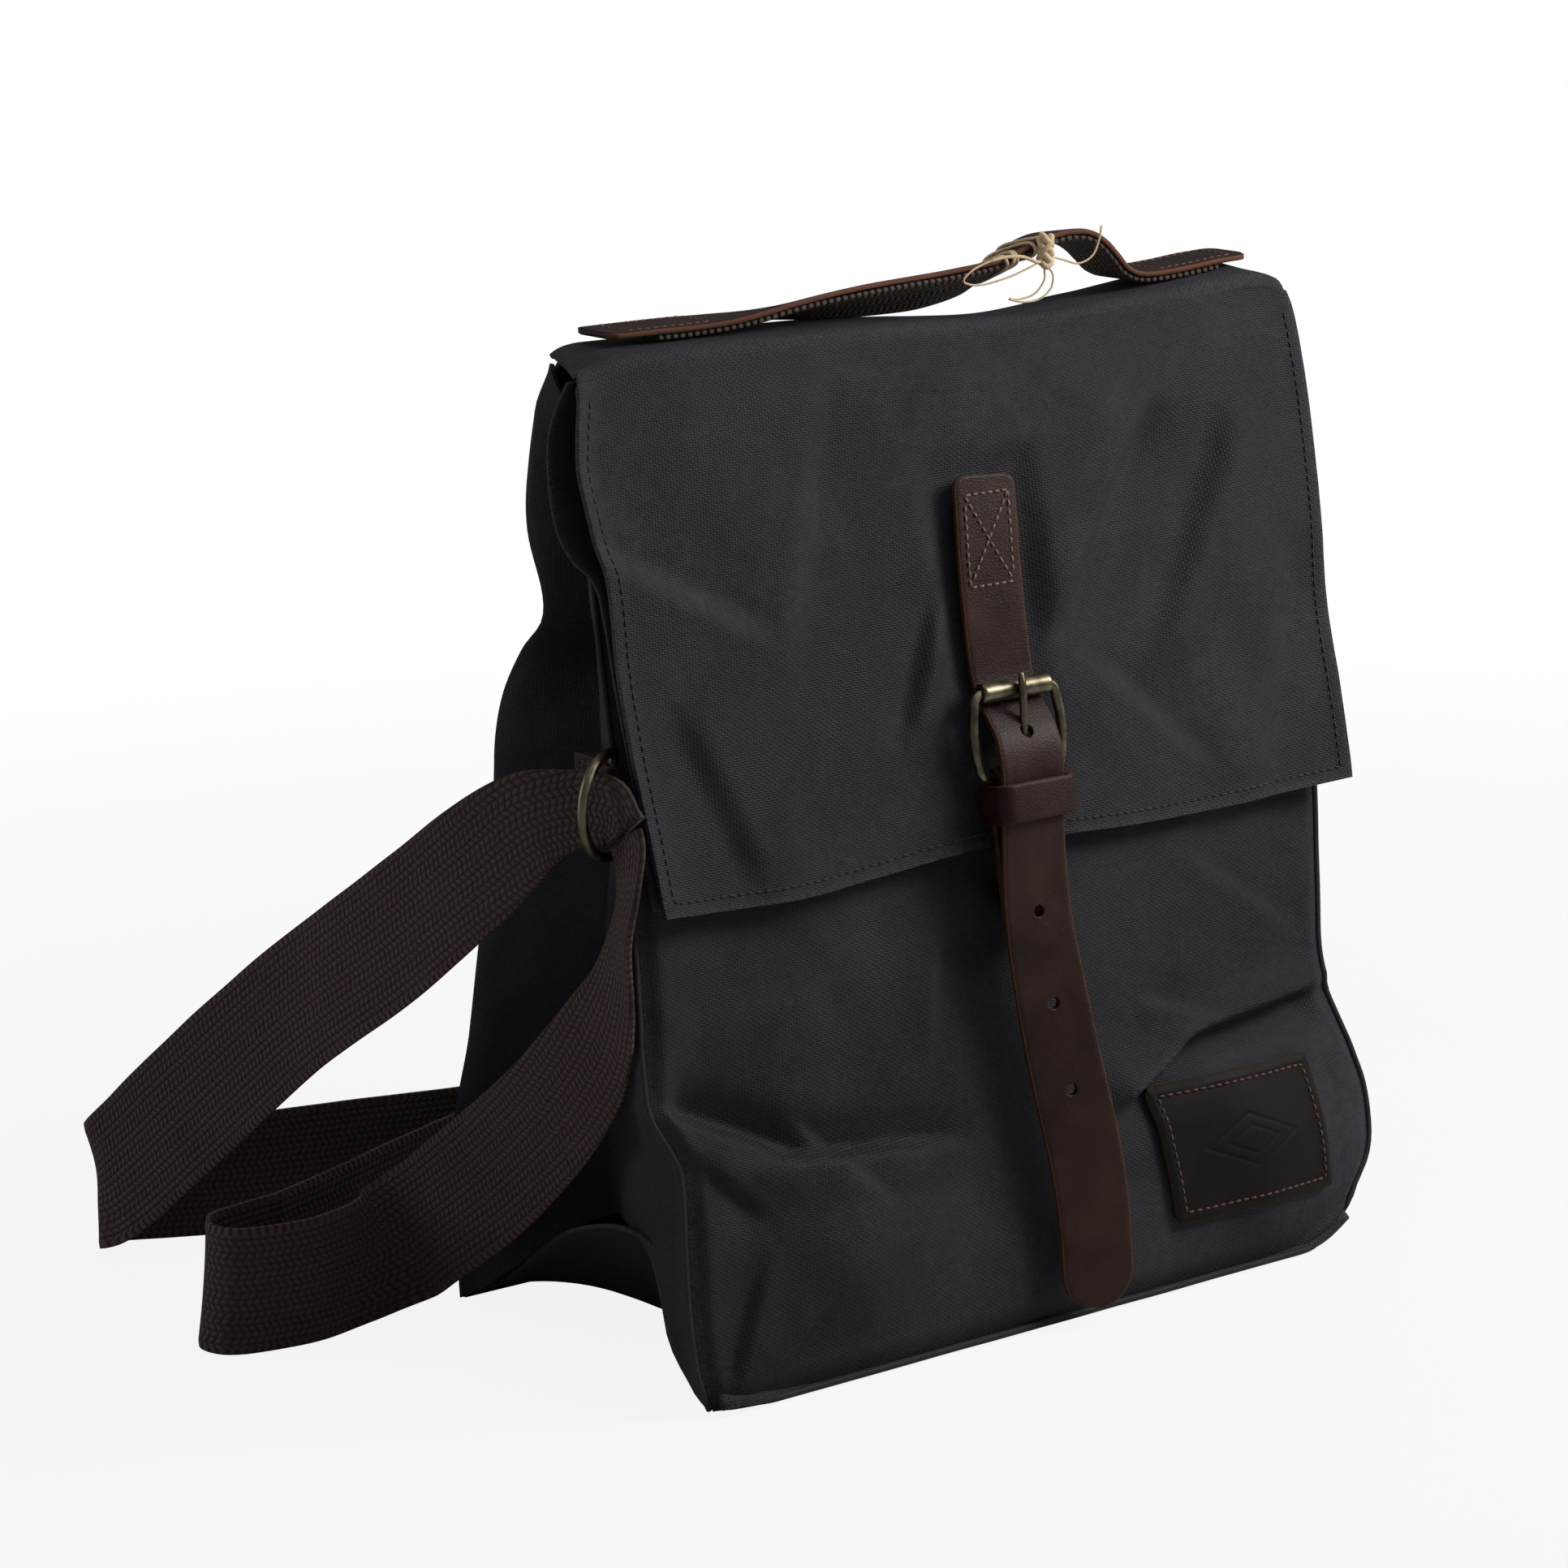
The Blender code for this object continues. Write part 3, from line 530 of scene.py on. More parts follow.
def canvas_material(name, dark, light, waxy=1.0, pitch=0.0011):
    made, net, shader, spot = start_material(
        name, 0.62, Sheen_Weight=0.05, Sheen_Roughness=0.40, Sheen_Tint=rgb(0.66, 0.63, 0.78),
        Specular_IOR_Level=0.20)
    weave = net.group(CANVAS_WEAVE, {"Cloth": spot["UV"], "Pitch": pitch})
    dust = net.group(DUST, {"Vector": spot["Object"], "Spread": 11.0})["Mask"]
    worn = net.add("ShaderNodeAttribute", attribute_name="wear").outputs["Fac"]
    broad = net.noise(spot["Object"], 13.0, 5.0, 0.60, 0.8)
    base = net.mix(net.ramp(broad, 0.34, 0.66), dark, light)
    # Painted shade of the weave: the raised threads are mixed towards a lighter colour, and the hollows
    # between them stay darker.
    base = net.mix(net.ramp(weave["Shade"], 0.35, 0.85), base, rgb(*[c * 2.0 for c in light[:3]]))
    rubbed = rgb(0.072, 0.066, 0.082)
    speckle = net.ramp(net.noise(spot["UV"], 700.0, 2.0), 0.35, 0.7)
    base = net.mix(net.math("MULTIPLY", dust, 0.55 * waxy), base, rubbed)
    # Lighter speckle where the wear attribute is high: real wear at edges and seams, and on the front panel
    # also a painted highlight on the highest fold ridges.
    base = net.mix(net.math("MULTIPLY", net.math("MULTIPLY", worn, speckle), 0.60), base, rubbed)
    net.put(shader.inputs["Base Color"], base)
    shine = net.math("MULTIPLY_ADD", broad, -0.35, 0.80)
    net.put(shader.inputs["Roughness"], net.math("MULTIPLY_ADD", dust, 0.12, shine))
    fine = net.math("MULTIPLY_ADD", net.noise(spot["Object"], 120.0, 4.0, 0.6), 0.8, weave["Height"])
    bumped = net.add("ShaderNodeBump", {"Strength": 0.55, "Distance": 0.0005, "Height": fine})
    net.put(shader.inputs["Normal"], bumped.outputs[0])
    return made


def leather_material(name, dark, light, edge, fineness=1.0, polish=0.46, gloss=0.22):
    made, net, shader, spot = start_material(name, polish, Specular_IOR_Level=gloss)
    grain = net.group(GRAIN, {"Vector": spot["Object"], "Fineness": fineness})
    worn = net.add("ShaderNodeAttribute", attribute_name="wear").outputs["Fac"]
    ragged = net.math("MULTIPLY_ADD", net.noise(spot["Object"], 300.0, 3.0), 0.9,
                      net.math("SUBTRACT", worn, 0.45))
    raw = net.ramp(ragged, 0.62, 0.95)
    base = net.mix(grain["Mottle"], dark, light)
    base = net.mix(net.math("MULTIPLY", grain["Scratch"], 0.55), base, rgb(*[c * 2.1 for c in light[:3]]))
    net.put(shader.inputs["Base Color"], net.mix(raw, base, edge))
    rough = net.math("MULTIPLY_ADD", grain["Mottle"], 0.14, polish - 0.04)
    net.put(shader.inputs["Roughness"], net.math("MULTIPLY_ADD", raw, 0.25, rough))
    bumped = net.add("ShaderNodeBump", {"Strength": 0.35, "Distance": 0.0003, "Height": grain["Height"]})
    net.put(shader.inputs["Normal"], bumped.outputs[0])
    return made


def webbing_material(name, dark, light, half_width):
    made, net, shader, spot = start_material(
        name, 0.8, Sheen_Weight=0.10, Sheen_Roughness=0.5, Sheen_Tint=rgb(0.8, 0.52, 0.44))
    weave = net.group(WEBBING_WEAVE, {"Cloth": spot["UV"], "Half Width": half_width})
    dust = net.group(DUST, {"Vector": spot["Object"], "Spread": 14.0})["Mask"]
    # Painted shade: the colour runs from dark in the weave's hollows to light on its raised cells, following
    # the weave height.
    base = net.mix(net.ramp(weave["Shade"], 0.1, 0.85), dark, light)
    base = net.mix(net.math("MULTIPLY", dust, 0.12), base, rgb(0.13, 0.08, 0.065))
    net.put(shader.inputs["Base Color"], base)
    net.put(shader.inputs["Roughness"], net.math("MULTIPLY_ADD", weave["Height"], -0.08, 0.86))
    bumped = net.add("ShaderNodeBump", {"Strength": 0.9, "Distance": 0.0014, "Height": weave["Height"]})
    net.put(shader.inputs["Normal"], bumped.outputs[0])
    return made


def brass_material(name):
    made, net, shader, spot = start_material(name, 0.34, Metallic=1.0)
    tarnish = net.noise(spot["Object"], 210.0, 5.0, 0.65)
    rub = net.ramp(net.noise(spot["Object"], 90.0, 3.0), 0.42, 0.66)
    base = net.mix(net.ramp(tarnish, 0.35, 0.7), rgb(0.070, 0.060, 0.040), rgb(0.20, 0.17, 0.11))
    base = net.mix(net.math("MULTIPLY", rub, 0.40), base, rgb(0.48, 0.42, 0.29))
    net.put(shader.inputs["Base Color"], base)
    net.put(shader.inputs["Roughness"], net.math("MULTIPLY_ADD", tarnish, 0.34, 0.20))
    bumped = net.add("ShaderNodeBump", {"Strength": 0.2, "Distance": 0.0002, "Height": tarnish})
    net.put(shader.inputs["Normal"], bumped.outputs[0])
    return made


def thread_material(name, dark, light):
    made, net, shader, spot = start_material(name, 0.7)
    twist = net.add("ShaderNodeTexWave",
                    {"Vector": spot["Object"], "Scale": 900.0, "Distortion": 2.0}).outputs[1]
    uneven = net.noise(spot["Object"], 140.0, 3.0)
    # The twist bands, which also drive the bump, paint shade into the grooves of the twist; the uneven noise
    # is the thread's own tone.
    shade = net.math("MULTIPLY_ADD", twist, 0.4, net.math("MULTIPLY", uneven, 0.7))
    net.put(shader.inputs["Base Color"], net.mix(net.ramp(shade, 0.2, 0.85), dark, light))
    bumped = net.add("ShaderNodeBump", {"Strength": 0.4, "Distance": 0.0002, "Height": twist})
    net.put(shader.inputs["Normal"], bumped.outputs[0])
    return made


CANVAS = canvas_material(
    "waxed canvas", rgb(0.0058, 0.0052, 0.0069), rgb(0.0141, 0.0127, 0.0164), 1.0, 0.00095)
GUSSET_CANVAS = canvas_material(
    "gusset canvas", rgb(0.0078, 0.0071, 0.0088), rgb(0.0156, 0.0142, 0.0172), 0.6, 0.00095)
LINING = canvas_material(
    "lining cloth", rgb(0.0085, 0.0080, 0.0105), rgb(0.0140, 0.0130, 0.0165), 0.5, 0.0009)
STRAP_LEATHER = leather_material("strap leather", rgb(0.0145, 0.0052, 0.0036), rgb(0.0390, 0.0142, 0.0096),
                                 rgb(0.090, 0.033, 0.016))
HANDLE_LEATHER = leather_material("handle leather", rgb(0.0150, 0.0068, 0.0052), rgb(0.0330, 0.0145, 0.0105),
                                  rgb(0.125, 0.050, 0.026), 1.0, 0.50)
LABEL_LEATHER = leather_material("label leather", rgb(0.0058, 0.0046, 0.0036), rgb(0.0105, 0.0080, 0.0062),
                                 rgb(0.040, 0.021, 0.013), 1.3, 0.62, 0.16)
WEBBING = webbing_material("cotton webbing", rgb(0.0058, 0.0029, 0.0023), rgb(0.0700, 0.0360, 0.0285), 0.0225)
HANDLE_WEB = webbing_material(
    "handle webbing", rgb(0.0080, 0.0055, 0.0045), rgb(0.0600, 0.0380, 0.0270), 0.0100)
BRASS = brass_material("antique brass")
SEAM_THREAD = thread_material("seam thread", rgb(0.0100, 0.0095, 0.0130), rgb(0.0330, 0.0310, 0.0400))
TAN_THREAD = thread_material("tan thread", rgb(0.13, 0.070, 0.050), rgb(0.42, 0.26, 0.20))
RUST_THREAD = thread_material("rust thread", rgb(0.070, 0.028, 0.016), rgb(0.20, 0.085, 0.045))
PIPING = thread_material("piping cloth", rgb(0.0040, 0.0040, 0.0050), rgb(0.0140, 0.0135, 0.0170))
TWINE = thread_material("natural twine", rgb(0.42, 0.28, 0.15), rgb(0.95, 0.74, 0.48))


# ---------------------------------------------------------------- the bag's body

LEFT_SEAM = [
    (0.000, -0.1405), (0.006, -0.1438), (0.014, -0.1460), (0.030, -0.1464), (0.052, -0.1452),
    (0.070, -0.1436), (0.082, -0.1434), (0.091, -0.1475), (0.101, -0.1522), (0.118, -0.1530),
    (0.136, -0.1516), (0.166, -0.1498), (0.200, -0.1490), (0.260, -0.1480), (0.335, -0.1465),
]
RIGHT_SEAM = [
    (0.000, 0.1360), (0.008, 0.1440), (0.016, 0.1500), (0.026, 0.1530), (0.044, 0.1526),
    (0.058, 0.1490), (0.070, 0.1448), (0.088, 0.1402), (0.098, 0.1392), (0.120, 0.1408),
    (0.160, 0.1448), (0.200, 0.1462), (0.260, 0.1462), (0.335, 0.1450),
]
BACK_SEAM_LEFT = [
    (0.000, 0.0765), (0.030, 0.0805), (0.052, 0.0800), (0.075, 0.0730), (0.100, 0.0650),
    (0.140, 0.0555), (0.193, 0.0455), (0.222, 0.0400), (0.240, 0.0300), (0.252, 0.0180),
    (0.262, 0.0160), (0.282, 0.0205), (0.305, 0.0180), (0.325, 0.0130), (0.336, 0.0105),
]
BACK_SEAM_RIGHT = [
    (0.000, 0.0750), (0.050, 0.0740), (0.100, 0.0600), (0.160, 0.0480), (0.220, 0.0370),
    (0.280, 0.0240), (0.325, 0.0140), (0.336, 0.0110),
]
ARCH_LEFT = [
    (-0.0750, 0.0000), (-0.0680, 0.0080), (-0.0580, 0.0260), (-0.0460, 0.0440), (-0.0353, 0.0500),
    (-0.0220, 0.0510), (-0.0090, 0.0480), (0.0100, 0.0400), (0.0350, 0.0240), (0.0580, 0.0090),
    (0.0765, 0.0000),
]
MOUTH_V = 0.3290


def base_lift(u):
    """How far the front's bottom edge lifts off the floor near its corners."""
    return 0.013 * ease((u - 0.108) / 0.040) ** 2 + 0.0012 * ease((-u - 0.120) / 0.02)


# A row is a fold: where it starts, where it ends, its depth, its width and the hollow beside it.
FRONT_FOLDS = [
    ((-0.1500, 0.1040), (-0.1000, 0.0795), 0.0042, 0.0085, 0.0026),
    ((-0.1120, 0.0800), (-0.0360, 0.0715), 0.0040, 0.0085, 0.0008),
    ((-0.1400, 0.0860), (-0.1150, 0.0620), -0.0016, 0.0080, 0.0006),
    ((-0.0980, 0.0900), (-0.0660, 0.0560), 0.0012, 0.0070, 0.0),
    ((0.0360, 0.0680), (0.0740, 0.0880), -0.0046, 0.0080, -0.0006),
    ((0.0680, 0.0870), (0.1460, 0.0950), -0.0054, 0.0085, 0.0016),
    ((0.0520, 0.1040), (0.0840, 0.0930), 0.0014, 0.0070, 0.0),
    ((0.1360, 0.0900), (0.1500, 0.0560), 0.0018, 0.0070, 0.0006),
    ((0.1080, 0.0010), (0.1500, 0.0200), 0.0022, 0.0070, 0.0004),
    ((-0.1380, 0.0020), (-0.1180, 0.0480), 0.0016, 0.0070, 0.0004),
    ((-0.1300, 0.0010), (-0.0960, 0.0280), -0.0013, 0.0060, 0.0),
    ((-0.0300, 0.1450), (-0.0420, 0.1020), 0.0010, 0.0100, 0.0),
    ((0.0800, 0.1500), (0.1300, 0.1150), 0.0012, 0.0110, 0.0),
]


def front_relief(u, v):
    """How far the front panel stands out of its plane."""
    n = 0.0030 * bump(u, 0.0, 0.17) * bump(v, 0.10, 0.16)
    n += 0.0085 * bump(u, 0.098, 0.062) * bump(v, 0.046, 0.050)
    n += 0.0050 * bump(u, -0.085, 0.060) * bump(v, 0.048, 0.046)
    n -= 0.0042 * bump(u, -0.125, 0.042) * bump(v, 0.104, 0.030)
    n -= 0.0030 * bump(u, 0.130, 0.040) * bump(v, 0.104, 0.035)
    for row in FRONT_FOLDS:
        n += fold(u, v, *row)
    n += 0.0016 * rumple(u, v, 0.060, 3.1) + 0.0007 * rumple(u * 1.3, v, 0.024, 8.4)
    n += 0.00022 * rumple(u, v, 0.009, 5.5)
    return n


def front_panel():
    def place(s, t):
        v = t * MOUTH_V
        left, right = table(LEFT_SEAM, v), table(RIGHT_SEAM, v)
        u = left + (right - left) * s
        lift = base_lift(u)
        v = lift + t * (MOUTH_V - lift)
        held = ease(s / 0.05) * ease((1 - s) / 0.05)
        n = front_relief(u, v) * (0.35 + 0.65 * held)
        n *= 0.25 + 0.75 * ease(v / 0.02)
        n -= 0.0022 * ease((v - 0.16) / 0.1)
        turn = 0.0035 * (1 - ease(s / 0.022)) + 0.0035 * (1 - ease((1 - s) / 0.022))
        foot = 0.0030 * (1 - ease((v - lift) / 0.010))
        worn = max(bump(u, left, 0.005), bump(u, right, 0.005), bump(v, lift, 0.006)) * 0.8
        # Wear also rises where the cloth stands out most: partly real rubbing of the wax on the fold ridges,
        # and partly a painted highlight where those ridges and the bulge by the label catch the light.
        worn = max(worn, min(max(n - 0.0042, 0) / 0.008, 0.45))
        return front(u, v, n - turn - foot), (u, v), worn
    piece = cloth("front_cloth", 190, 170, place, 0.0016, CANVAS)
    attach(piece, "bag")
    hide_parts("front_panel")


def corner_lift(side):
    """How far the front's bottom corner lifts off the floor."""
    return base_lift(table(LEFT_SEAM if side < 0 else RIGHT_SEAM, 0.0))


def seam_point(side, z):
    """The front corner seam of the gusset at a height."""
    v = max(z / COS, corner_lift(side))
    edge, share = LEFT_SEAM if side < 0 else RIGHT_SEAM, v
    for _ in range(6):
        lift = base_lift(table(edge, share))
        share = max((v - lift) / (MOUTH_V - lift) * MOUTH_V, 0.0)
    u = table(edge, share)
    point = front(u, v, 0)
    held = 0.35 * front_relief(u, v) * (0.25 + 0.75 * ease(v / 0.02)) - 0.0022 * ease((v - 0.16) / 0.1)
    return point + OUT * (held - 0.0037 - 0.0030 * (1 - ease((v - corner_lift(side)) / 0.010)))


def gusset(name, side):
    back_table = BACK_SEAM_LEFT if side < 0 else BACK_SEAM_RIGHT
    arch = 1.0 if side < 0 else 0.62

    def place(s, t):
        low = arch * table(ARCH_LEFT, -0.075 + 0.1515 * s)
        low += COS * corner_lift(side) * (1 - ease(s / 0.3))
        z = low + (0.3220 + 0.0150 * s - low) * t
        near = seam_point(side, z)
        far_y = table(back_table, z)
        far_x = side * (0.1445 - 0.0045 * ease((z - 0.322) / 0.016) - 0.0030 * bump(z, 0.25, 0.05)
                        + 0.002 * rumple(z, 0.3, 0.05, 2 + side))
        y = near.y + (far_y - near.y) * s
        x = near.x + (far_x - near.x) * s
        crease = 0.021 * ease(z / 0.05) * ease((0.345 - z) / 0.10)
        ridge = (1 - abs(2 * s - 1)) ** 1.25
        x -= side * crease * ridge
        x -= side * 0.0070 * bump(s, 0.62, 0.38) * bump(z, 0.250, 0.045)
        x += side * 0.0055 * bump(s, 0.30, 0.3) * bump(z, 0.075, 0.05)
        x += side * 0.0022 * rumple(y * 1.5, z, 0.040, 11.0 + side) * ease(s / 0.1) * ease((1 - s) / 0.1)
        x += side * 0.0009 * rumple(y, z, 0.014, 4.0 + side) * ease(s / 0.1) * ease((1 - s) / 0.1)
        worn = max(bump(s, 0, 0.05), bump(s, 1, 0.05), bump(t, 0, 0.03)) * 0.6
        return Vector((x, y, z)), (y, z), worn
    piece = cloth(name, 110, 60, place, 0.0016 * -side, GUSSET_CANVAS)
    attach(piece, "bag")
    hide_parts("gusset_left" if side < 0 else "gusset_right")


def back_panel():
    def place(s, t):
        z = 0.3425 * t
        corner = 0.0070 * ease((z - 0.325) / 0.018)
        left = Vector((-0.1445 + corner + 0.0030 * bump(z, 0.25, 0.05), table(BACK_SEAM_LEFT, z), z))
        right = Vector((0.1445 - 0.0030 * bump(z, 0.25, 0.05), table(BACK_SEAM_RIGHT, z), z))
        if z > 0.336:
            over = (z - 0.336) / 0.0065
            left.y = right.y = 0.0105 - 0.0030 * over * over
        point = left.lerp(right, s)
        inner = ease(s / 0.06) * ease((1 - s) / 0.06) * ease(z / 0.02) * ease((0.343 - z) / 0.03)
        point.z -= 1.15 * table(TOP_SAG, point.x) * ease((z - 0.290) / 0.050)
        straight = 0.075 - z * 0.188
        point.y += (straight - point.y) * 0.55 * ease(s / 0.3) * ease((1 - s) / 0.2)
        point.y += inner * (0.0045 * bump(z, 0.13, 0.14) + 0.0022 * rumple(point.x, z, 0.070, 21.0)
                            + 0.0009 * rumple(point.x, z, 0.026, 24.0)
                            + fold(point.x, z, (-0.145, 0.262), (-0.040, 0.228), 0.0030, 0.013)
                            + fold(point.x, z, (0.145, 0.100), (0.060, 0.080), -0.0024, 0.012))
        worn = max(bump(s, 0, 0.03), bump(s, 1, 0.03), bump(t, 0, 0.02)) * 0.7
        return point, (point.x, z), worn
    piece = cloth("back_cloth", 130, 110, place, -0.0016, CANVAS)
    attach(piece, "bag")
    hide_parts("back_panel")


def bottom_panel():
    def place(s, t):
        y = -0.0745 + 0.1500 * t
        left = table(LEFT_SEAM, 0.0) - 0.0005
        right = table(RIGHT_SEAM, 0.0)
        x = left + (right - left) * s
        lift = table(ARCH_LEFT, y) * (1 - ease((x - left) / 0.050)) ** 1.3
        lift += 0.62 * table(ARCH_LEFT, y) * (1 - ease((right - x) / 0.045)) ** 1.3
        lift += base_lift(x) * (1 - ease(t / 0.3))
        x -= 0.0050 * (1 - ease(s / 0.12)) * bump(y, -0.01, 0.06)
        z = 0.0006 + lift + 0.0008 * max(rumple(x, y, 0.05, 31.0), 0) * ease(t / 0.1) * ease((1 - t) / 0.1)
        worn = max(bump(t, 0, 0.05), bump(t, 1, 0.05), bump(s, 0, 0.03), bump(s, 1, 0.03)) * 0.7
        return Vector((x, y, z)), (x, y), worn
    piece = cloth("bottom_cloth", 60, 110, place, -0.0014, GUSSET_CANVAS)
    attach(piece, "bag")
    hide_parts("bottom_panel")


def pipings():
    for name, side, node in (("left_piping", -1, "piping_left"), ("right_piping", 1, "piping_right")):
        line = []
        for i in range(90):
            z = COS * corner_lift(side) + 0.0012
            z += (0.318 - z) * i / 89
            point = seam_point(side, z)
            line.append(point + Vector((side * 0.0008, -0.0002, 0)))
        piece = tube(name, line, 0.0011, PIPING, sides=8)
        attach(piece, "bag")
        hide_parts(node)
    line = []
    for i in range(121):
        u = -0.1392 + (0.1392 + 0.1352) * i / 120
        v = base_lift(u) + 0.0016
        tucked = 0.0048 * (1 - ease(i / 9)) + 0.0048 * (1 - ease((120 - i) / 9))
        line.append(front(u, v, -0.0008 - tucked + 0.0008 * rumple(u, 0.2, 0.03, 7.0)))
    piece = tube("base_piping", line, 0.0013, PIPING, sides=8)
    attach(piece, "bag")
    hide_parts("piping_base")


# ---------------------------------------------------------------- the flap

FLAP_LEFT = [
    (0.1665, -0.1466), (0.2020, -0.1493), (0.2286, -0.1515), (0.2471, -0.1528), (0.2700, -0.1532),
    (0.2785, -0.1540), (0.2919, -0.1572), (0.3050, -0.1594), (0.3130, -0.1598), (0.3231, -0.1580),
    (0.3355, -0.1550), (0.3440, -0.1538), (0.3540, -0.1506), (0.3620, -0.1474), (0.3760, -0.1436),
]
FLAP_RIGHT = [
    (0.1669, 0.1516), (0.2130, 0.1508), (0.2500, 0.1512), (0.2882, 0.1517), (0.3200, 0.1508),
    (0.3374, 0.1490), (0.3490, 0.1450), (0.3700, 0.1440),
]
FLAP_EDGE = [
    (-0.150, 0.1666), (-0.120, 0.1650), (-0.0868, 0.1640), (-0.055, 0.1660), (-0.0233, 0.1682),
    (0.0207, 0.1674), (0.050, 0.1660), (0.0828, 0.1655), (0.120, 0.1662), (0.152, 0.1670),
]
TURN_V, TURN_RADIUS = 0.34342, 0.0050
TURN_Y, TURN_Z = -0.01764, 0.3386
FLAP_N = 0.0073
TURN_LENGTH = TURN_RADIUS * math.radians(100)


# The same five values as for the front panel.
FLAP_FOLDS = [
    ((0.0780, 0.3080), (0.0240, 0.2350), 0.0046, 0.0170, 0.0018),
    ((0.1150, 0.3000), (0.0700, 0.2250), -0.0028, 0.0220, 0.0),
    ((-0.0200, 0.2600), (-0.0420, 0.2080), -0.0022, 0.0120, 0.0),
    ((0.0400, 0.2250), (0.0900, 0.1800), 0.0016, 0.0140, 0.0),
    ((-0.1520, 0.2850), (-0.0900, 0.2500), 0.0022, 0.0160, 0.0),
    ((-0.0600, 0.3300), (-0.0850, 0.2350), 0.0016, 0.0200, 0.0),
    ((-0.1300, 0.2300), (-0.1050, 0.1680), -0.0016, 0.0180, 0.0),
    ((0.1350, 0.2500), (0.1100, 0.1680), 0.0018, 0.0200, 0.0),
]


def flap_relief(u, v):
    n = 0.0010 + 0.0016 * bump(u, 0.0, 0.16)
    for row in FLAP_FOLDS:
        n += fold(u, v, *row)
    n += 0.0022 * rumple(u, v, 0.075, 41.0) + 0.0008 * rumple(u, v * 0.8, 0.030, 44.0)
    n += 0.0018 * rumple(u, 0.5, 0.045, 46.0) * (1 - ease((v - 0.165) / 0.05))
    n += 0.00020 * rumple(u, v, 0.010, 47.0)
    beside_strap = ease((abs(u + 0.001) - 0.015) / 0.013)
    return n * (0.12 + 0.88 * max(beside_strap, ease((v - 0.292) / 0.014)))


TOP_SAG = [
    (-0.148, 0.0000), (-0.080, 0.0008), (-0.045, 0.0015), (-0.018, 0.0028), (0.010, 0.0050),
    (0.032, 0.0060), (0.050, 0.0052), (0.064, 0.0036), (0.076, 0.0028), (0.100, 0.0008),
    (0.125, -0.0018), (0.140, -0.0022), (0.150, -0.0006),
]


def flap_spot(u, distance, extra):
    """A point of the flap a distance up from the base of the front, over the turn to the top."""
    sag = table(TOP_SAG, u)
    corner = 0.0085 * ease((-0.1290 - u) / 0.024) ** 2 + 0.0065 * ease((u - 0.1270) / 0.022) ** 2
    if distance <= TURN_V:
        lower = (0.45 * sag * ease((distance - 0.290) / 0.053)
                 + 0.35 * corner * ease((distance - 0.325) / 0.018))
        return front(u, distance, FLAP_N + extra) - RISE * lower
    over = distance - TURN_V
    droop = corner * (0.35 + 0.65 * ease(over / 0.016)) + sag * (0.45 + 0.75 * min(over / 0.0243, 1.0))
    if over < TURN_LENGTH:
        angle = math.radians(190) - over / TURN_RADIUS
        r = TURN_RADIUS + extra
        return Vector((u, TURN_Y + r * math.cos(angle), TURN_Z + r * math.sin(angle) - droop))
    return Vector((u, TURN_Y + over - TURN_LENGTH, TURN_Z + TURN_RADIUS + extra - droop))


def flap_outer_point(s, t):
    top = TURN_V + TURN_LENGTH + 0.0255
    share = t * t * 0.25 + t * 0.75 if t < 0.5 else t - 0.0625 * (1 - t) * 2
    v = 0.166 + (top - 0.166) * share
    left, right = table(FLAP_LEFT, min(v, 0.376)), table(FLAP_RIGHT, min(v, 0.376))
    u = left + (right - left) * s
    low = table(FLAP_EDGE, u)
    v = low + (top - low) * share
    held = 1 - 0.75 * ease((v - 0.325) / 0.02)
    extra = flap_relief(u, v) * held
    side = ease((0.03 - s) / 0.03) * bump(v, 0.305, 0.04)
    extra += 0.0035 * side
    return u, v, extra


def flap_outer():
    def place(s, t):
        u, v, extra = flap_outer_point(s, t)
        left, right = table(FLAP_LEFT, min(v, 0.376)), table(FLAP_RIGHT, min(v, 0.376))
        hem = 0.0007 * ease(1 - min(u - left, right - u, v - table(FLAP_EDGE, u)) / 0.0085)
        worn = max(bump(u, left, 0.0035), bump(u, right, 0.0035), bump(v, table(FLAP_EDGE, u), 0.0035))
        worn = max(worn, 0.5 * bump(v, TURN_V + 0.003, 0.006))
        return flap_spot(u, v, extra + hem), (u, v), worn
    piece = cloth("flap_cloth", 150, 160, place, 0.0017, CANVAS)
    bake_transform(piece)
    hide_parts("flap_outer")


def flap_lining():
    left_table = [
        (0.1680, -0.1478), (0.2079, -0.1484), (0.2400, -0.1508), (0.2653, -0.1524), (0.2772, -0.1538),
        (0.2843, -0.1590), (0.2957, -0.1612), (0.3188, -0.1606), (0.3288, -0.1590), (0.3420, -0.1530),
    ]
    deep = [
        (0.1680, 0.0042), (0.2400, 0.0040), (0.2700, 0.0036), (0.2820, 0.0010), (0.2950, -0.0030),
        (0.3150, -0.0040), (0.3300, -0.0010), (0.3420, 0.0030),
    ]

    def place(s, t):
        v = 0.1690 + (0.3405 - 0.1690) * t
        left, right = table(left_table, v), table(FLAP_RIGHT, v) - 0.0010
        u = left + (right - left) * s
        near_left = ease((0.20 - s) / 0.20)
        n = 0.0040 + (table(deep, v) - 0.0040) * near_left
        n += 0.35 * flap_relief(u, v) - 0.0006
        n = min(n, FLAP_N - 0.0021 + flap_relief(u, v))
        worn = max(bump(u, left, 0.004), bump(u, right, 0.004), bump(t, 0, 0.02))
        return front(u, v, n), (u, v), worn
    piece = cloth("flap_lining_cloth", 90, 110, place, 0.0014, LINING)
    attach(piece, "flap")
    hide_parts("flap_lining")


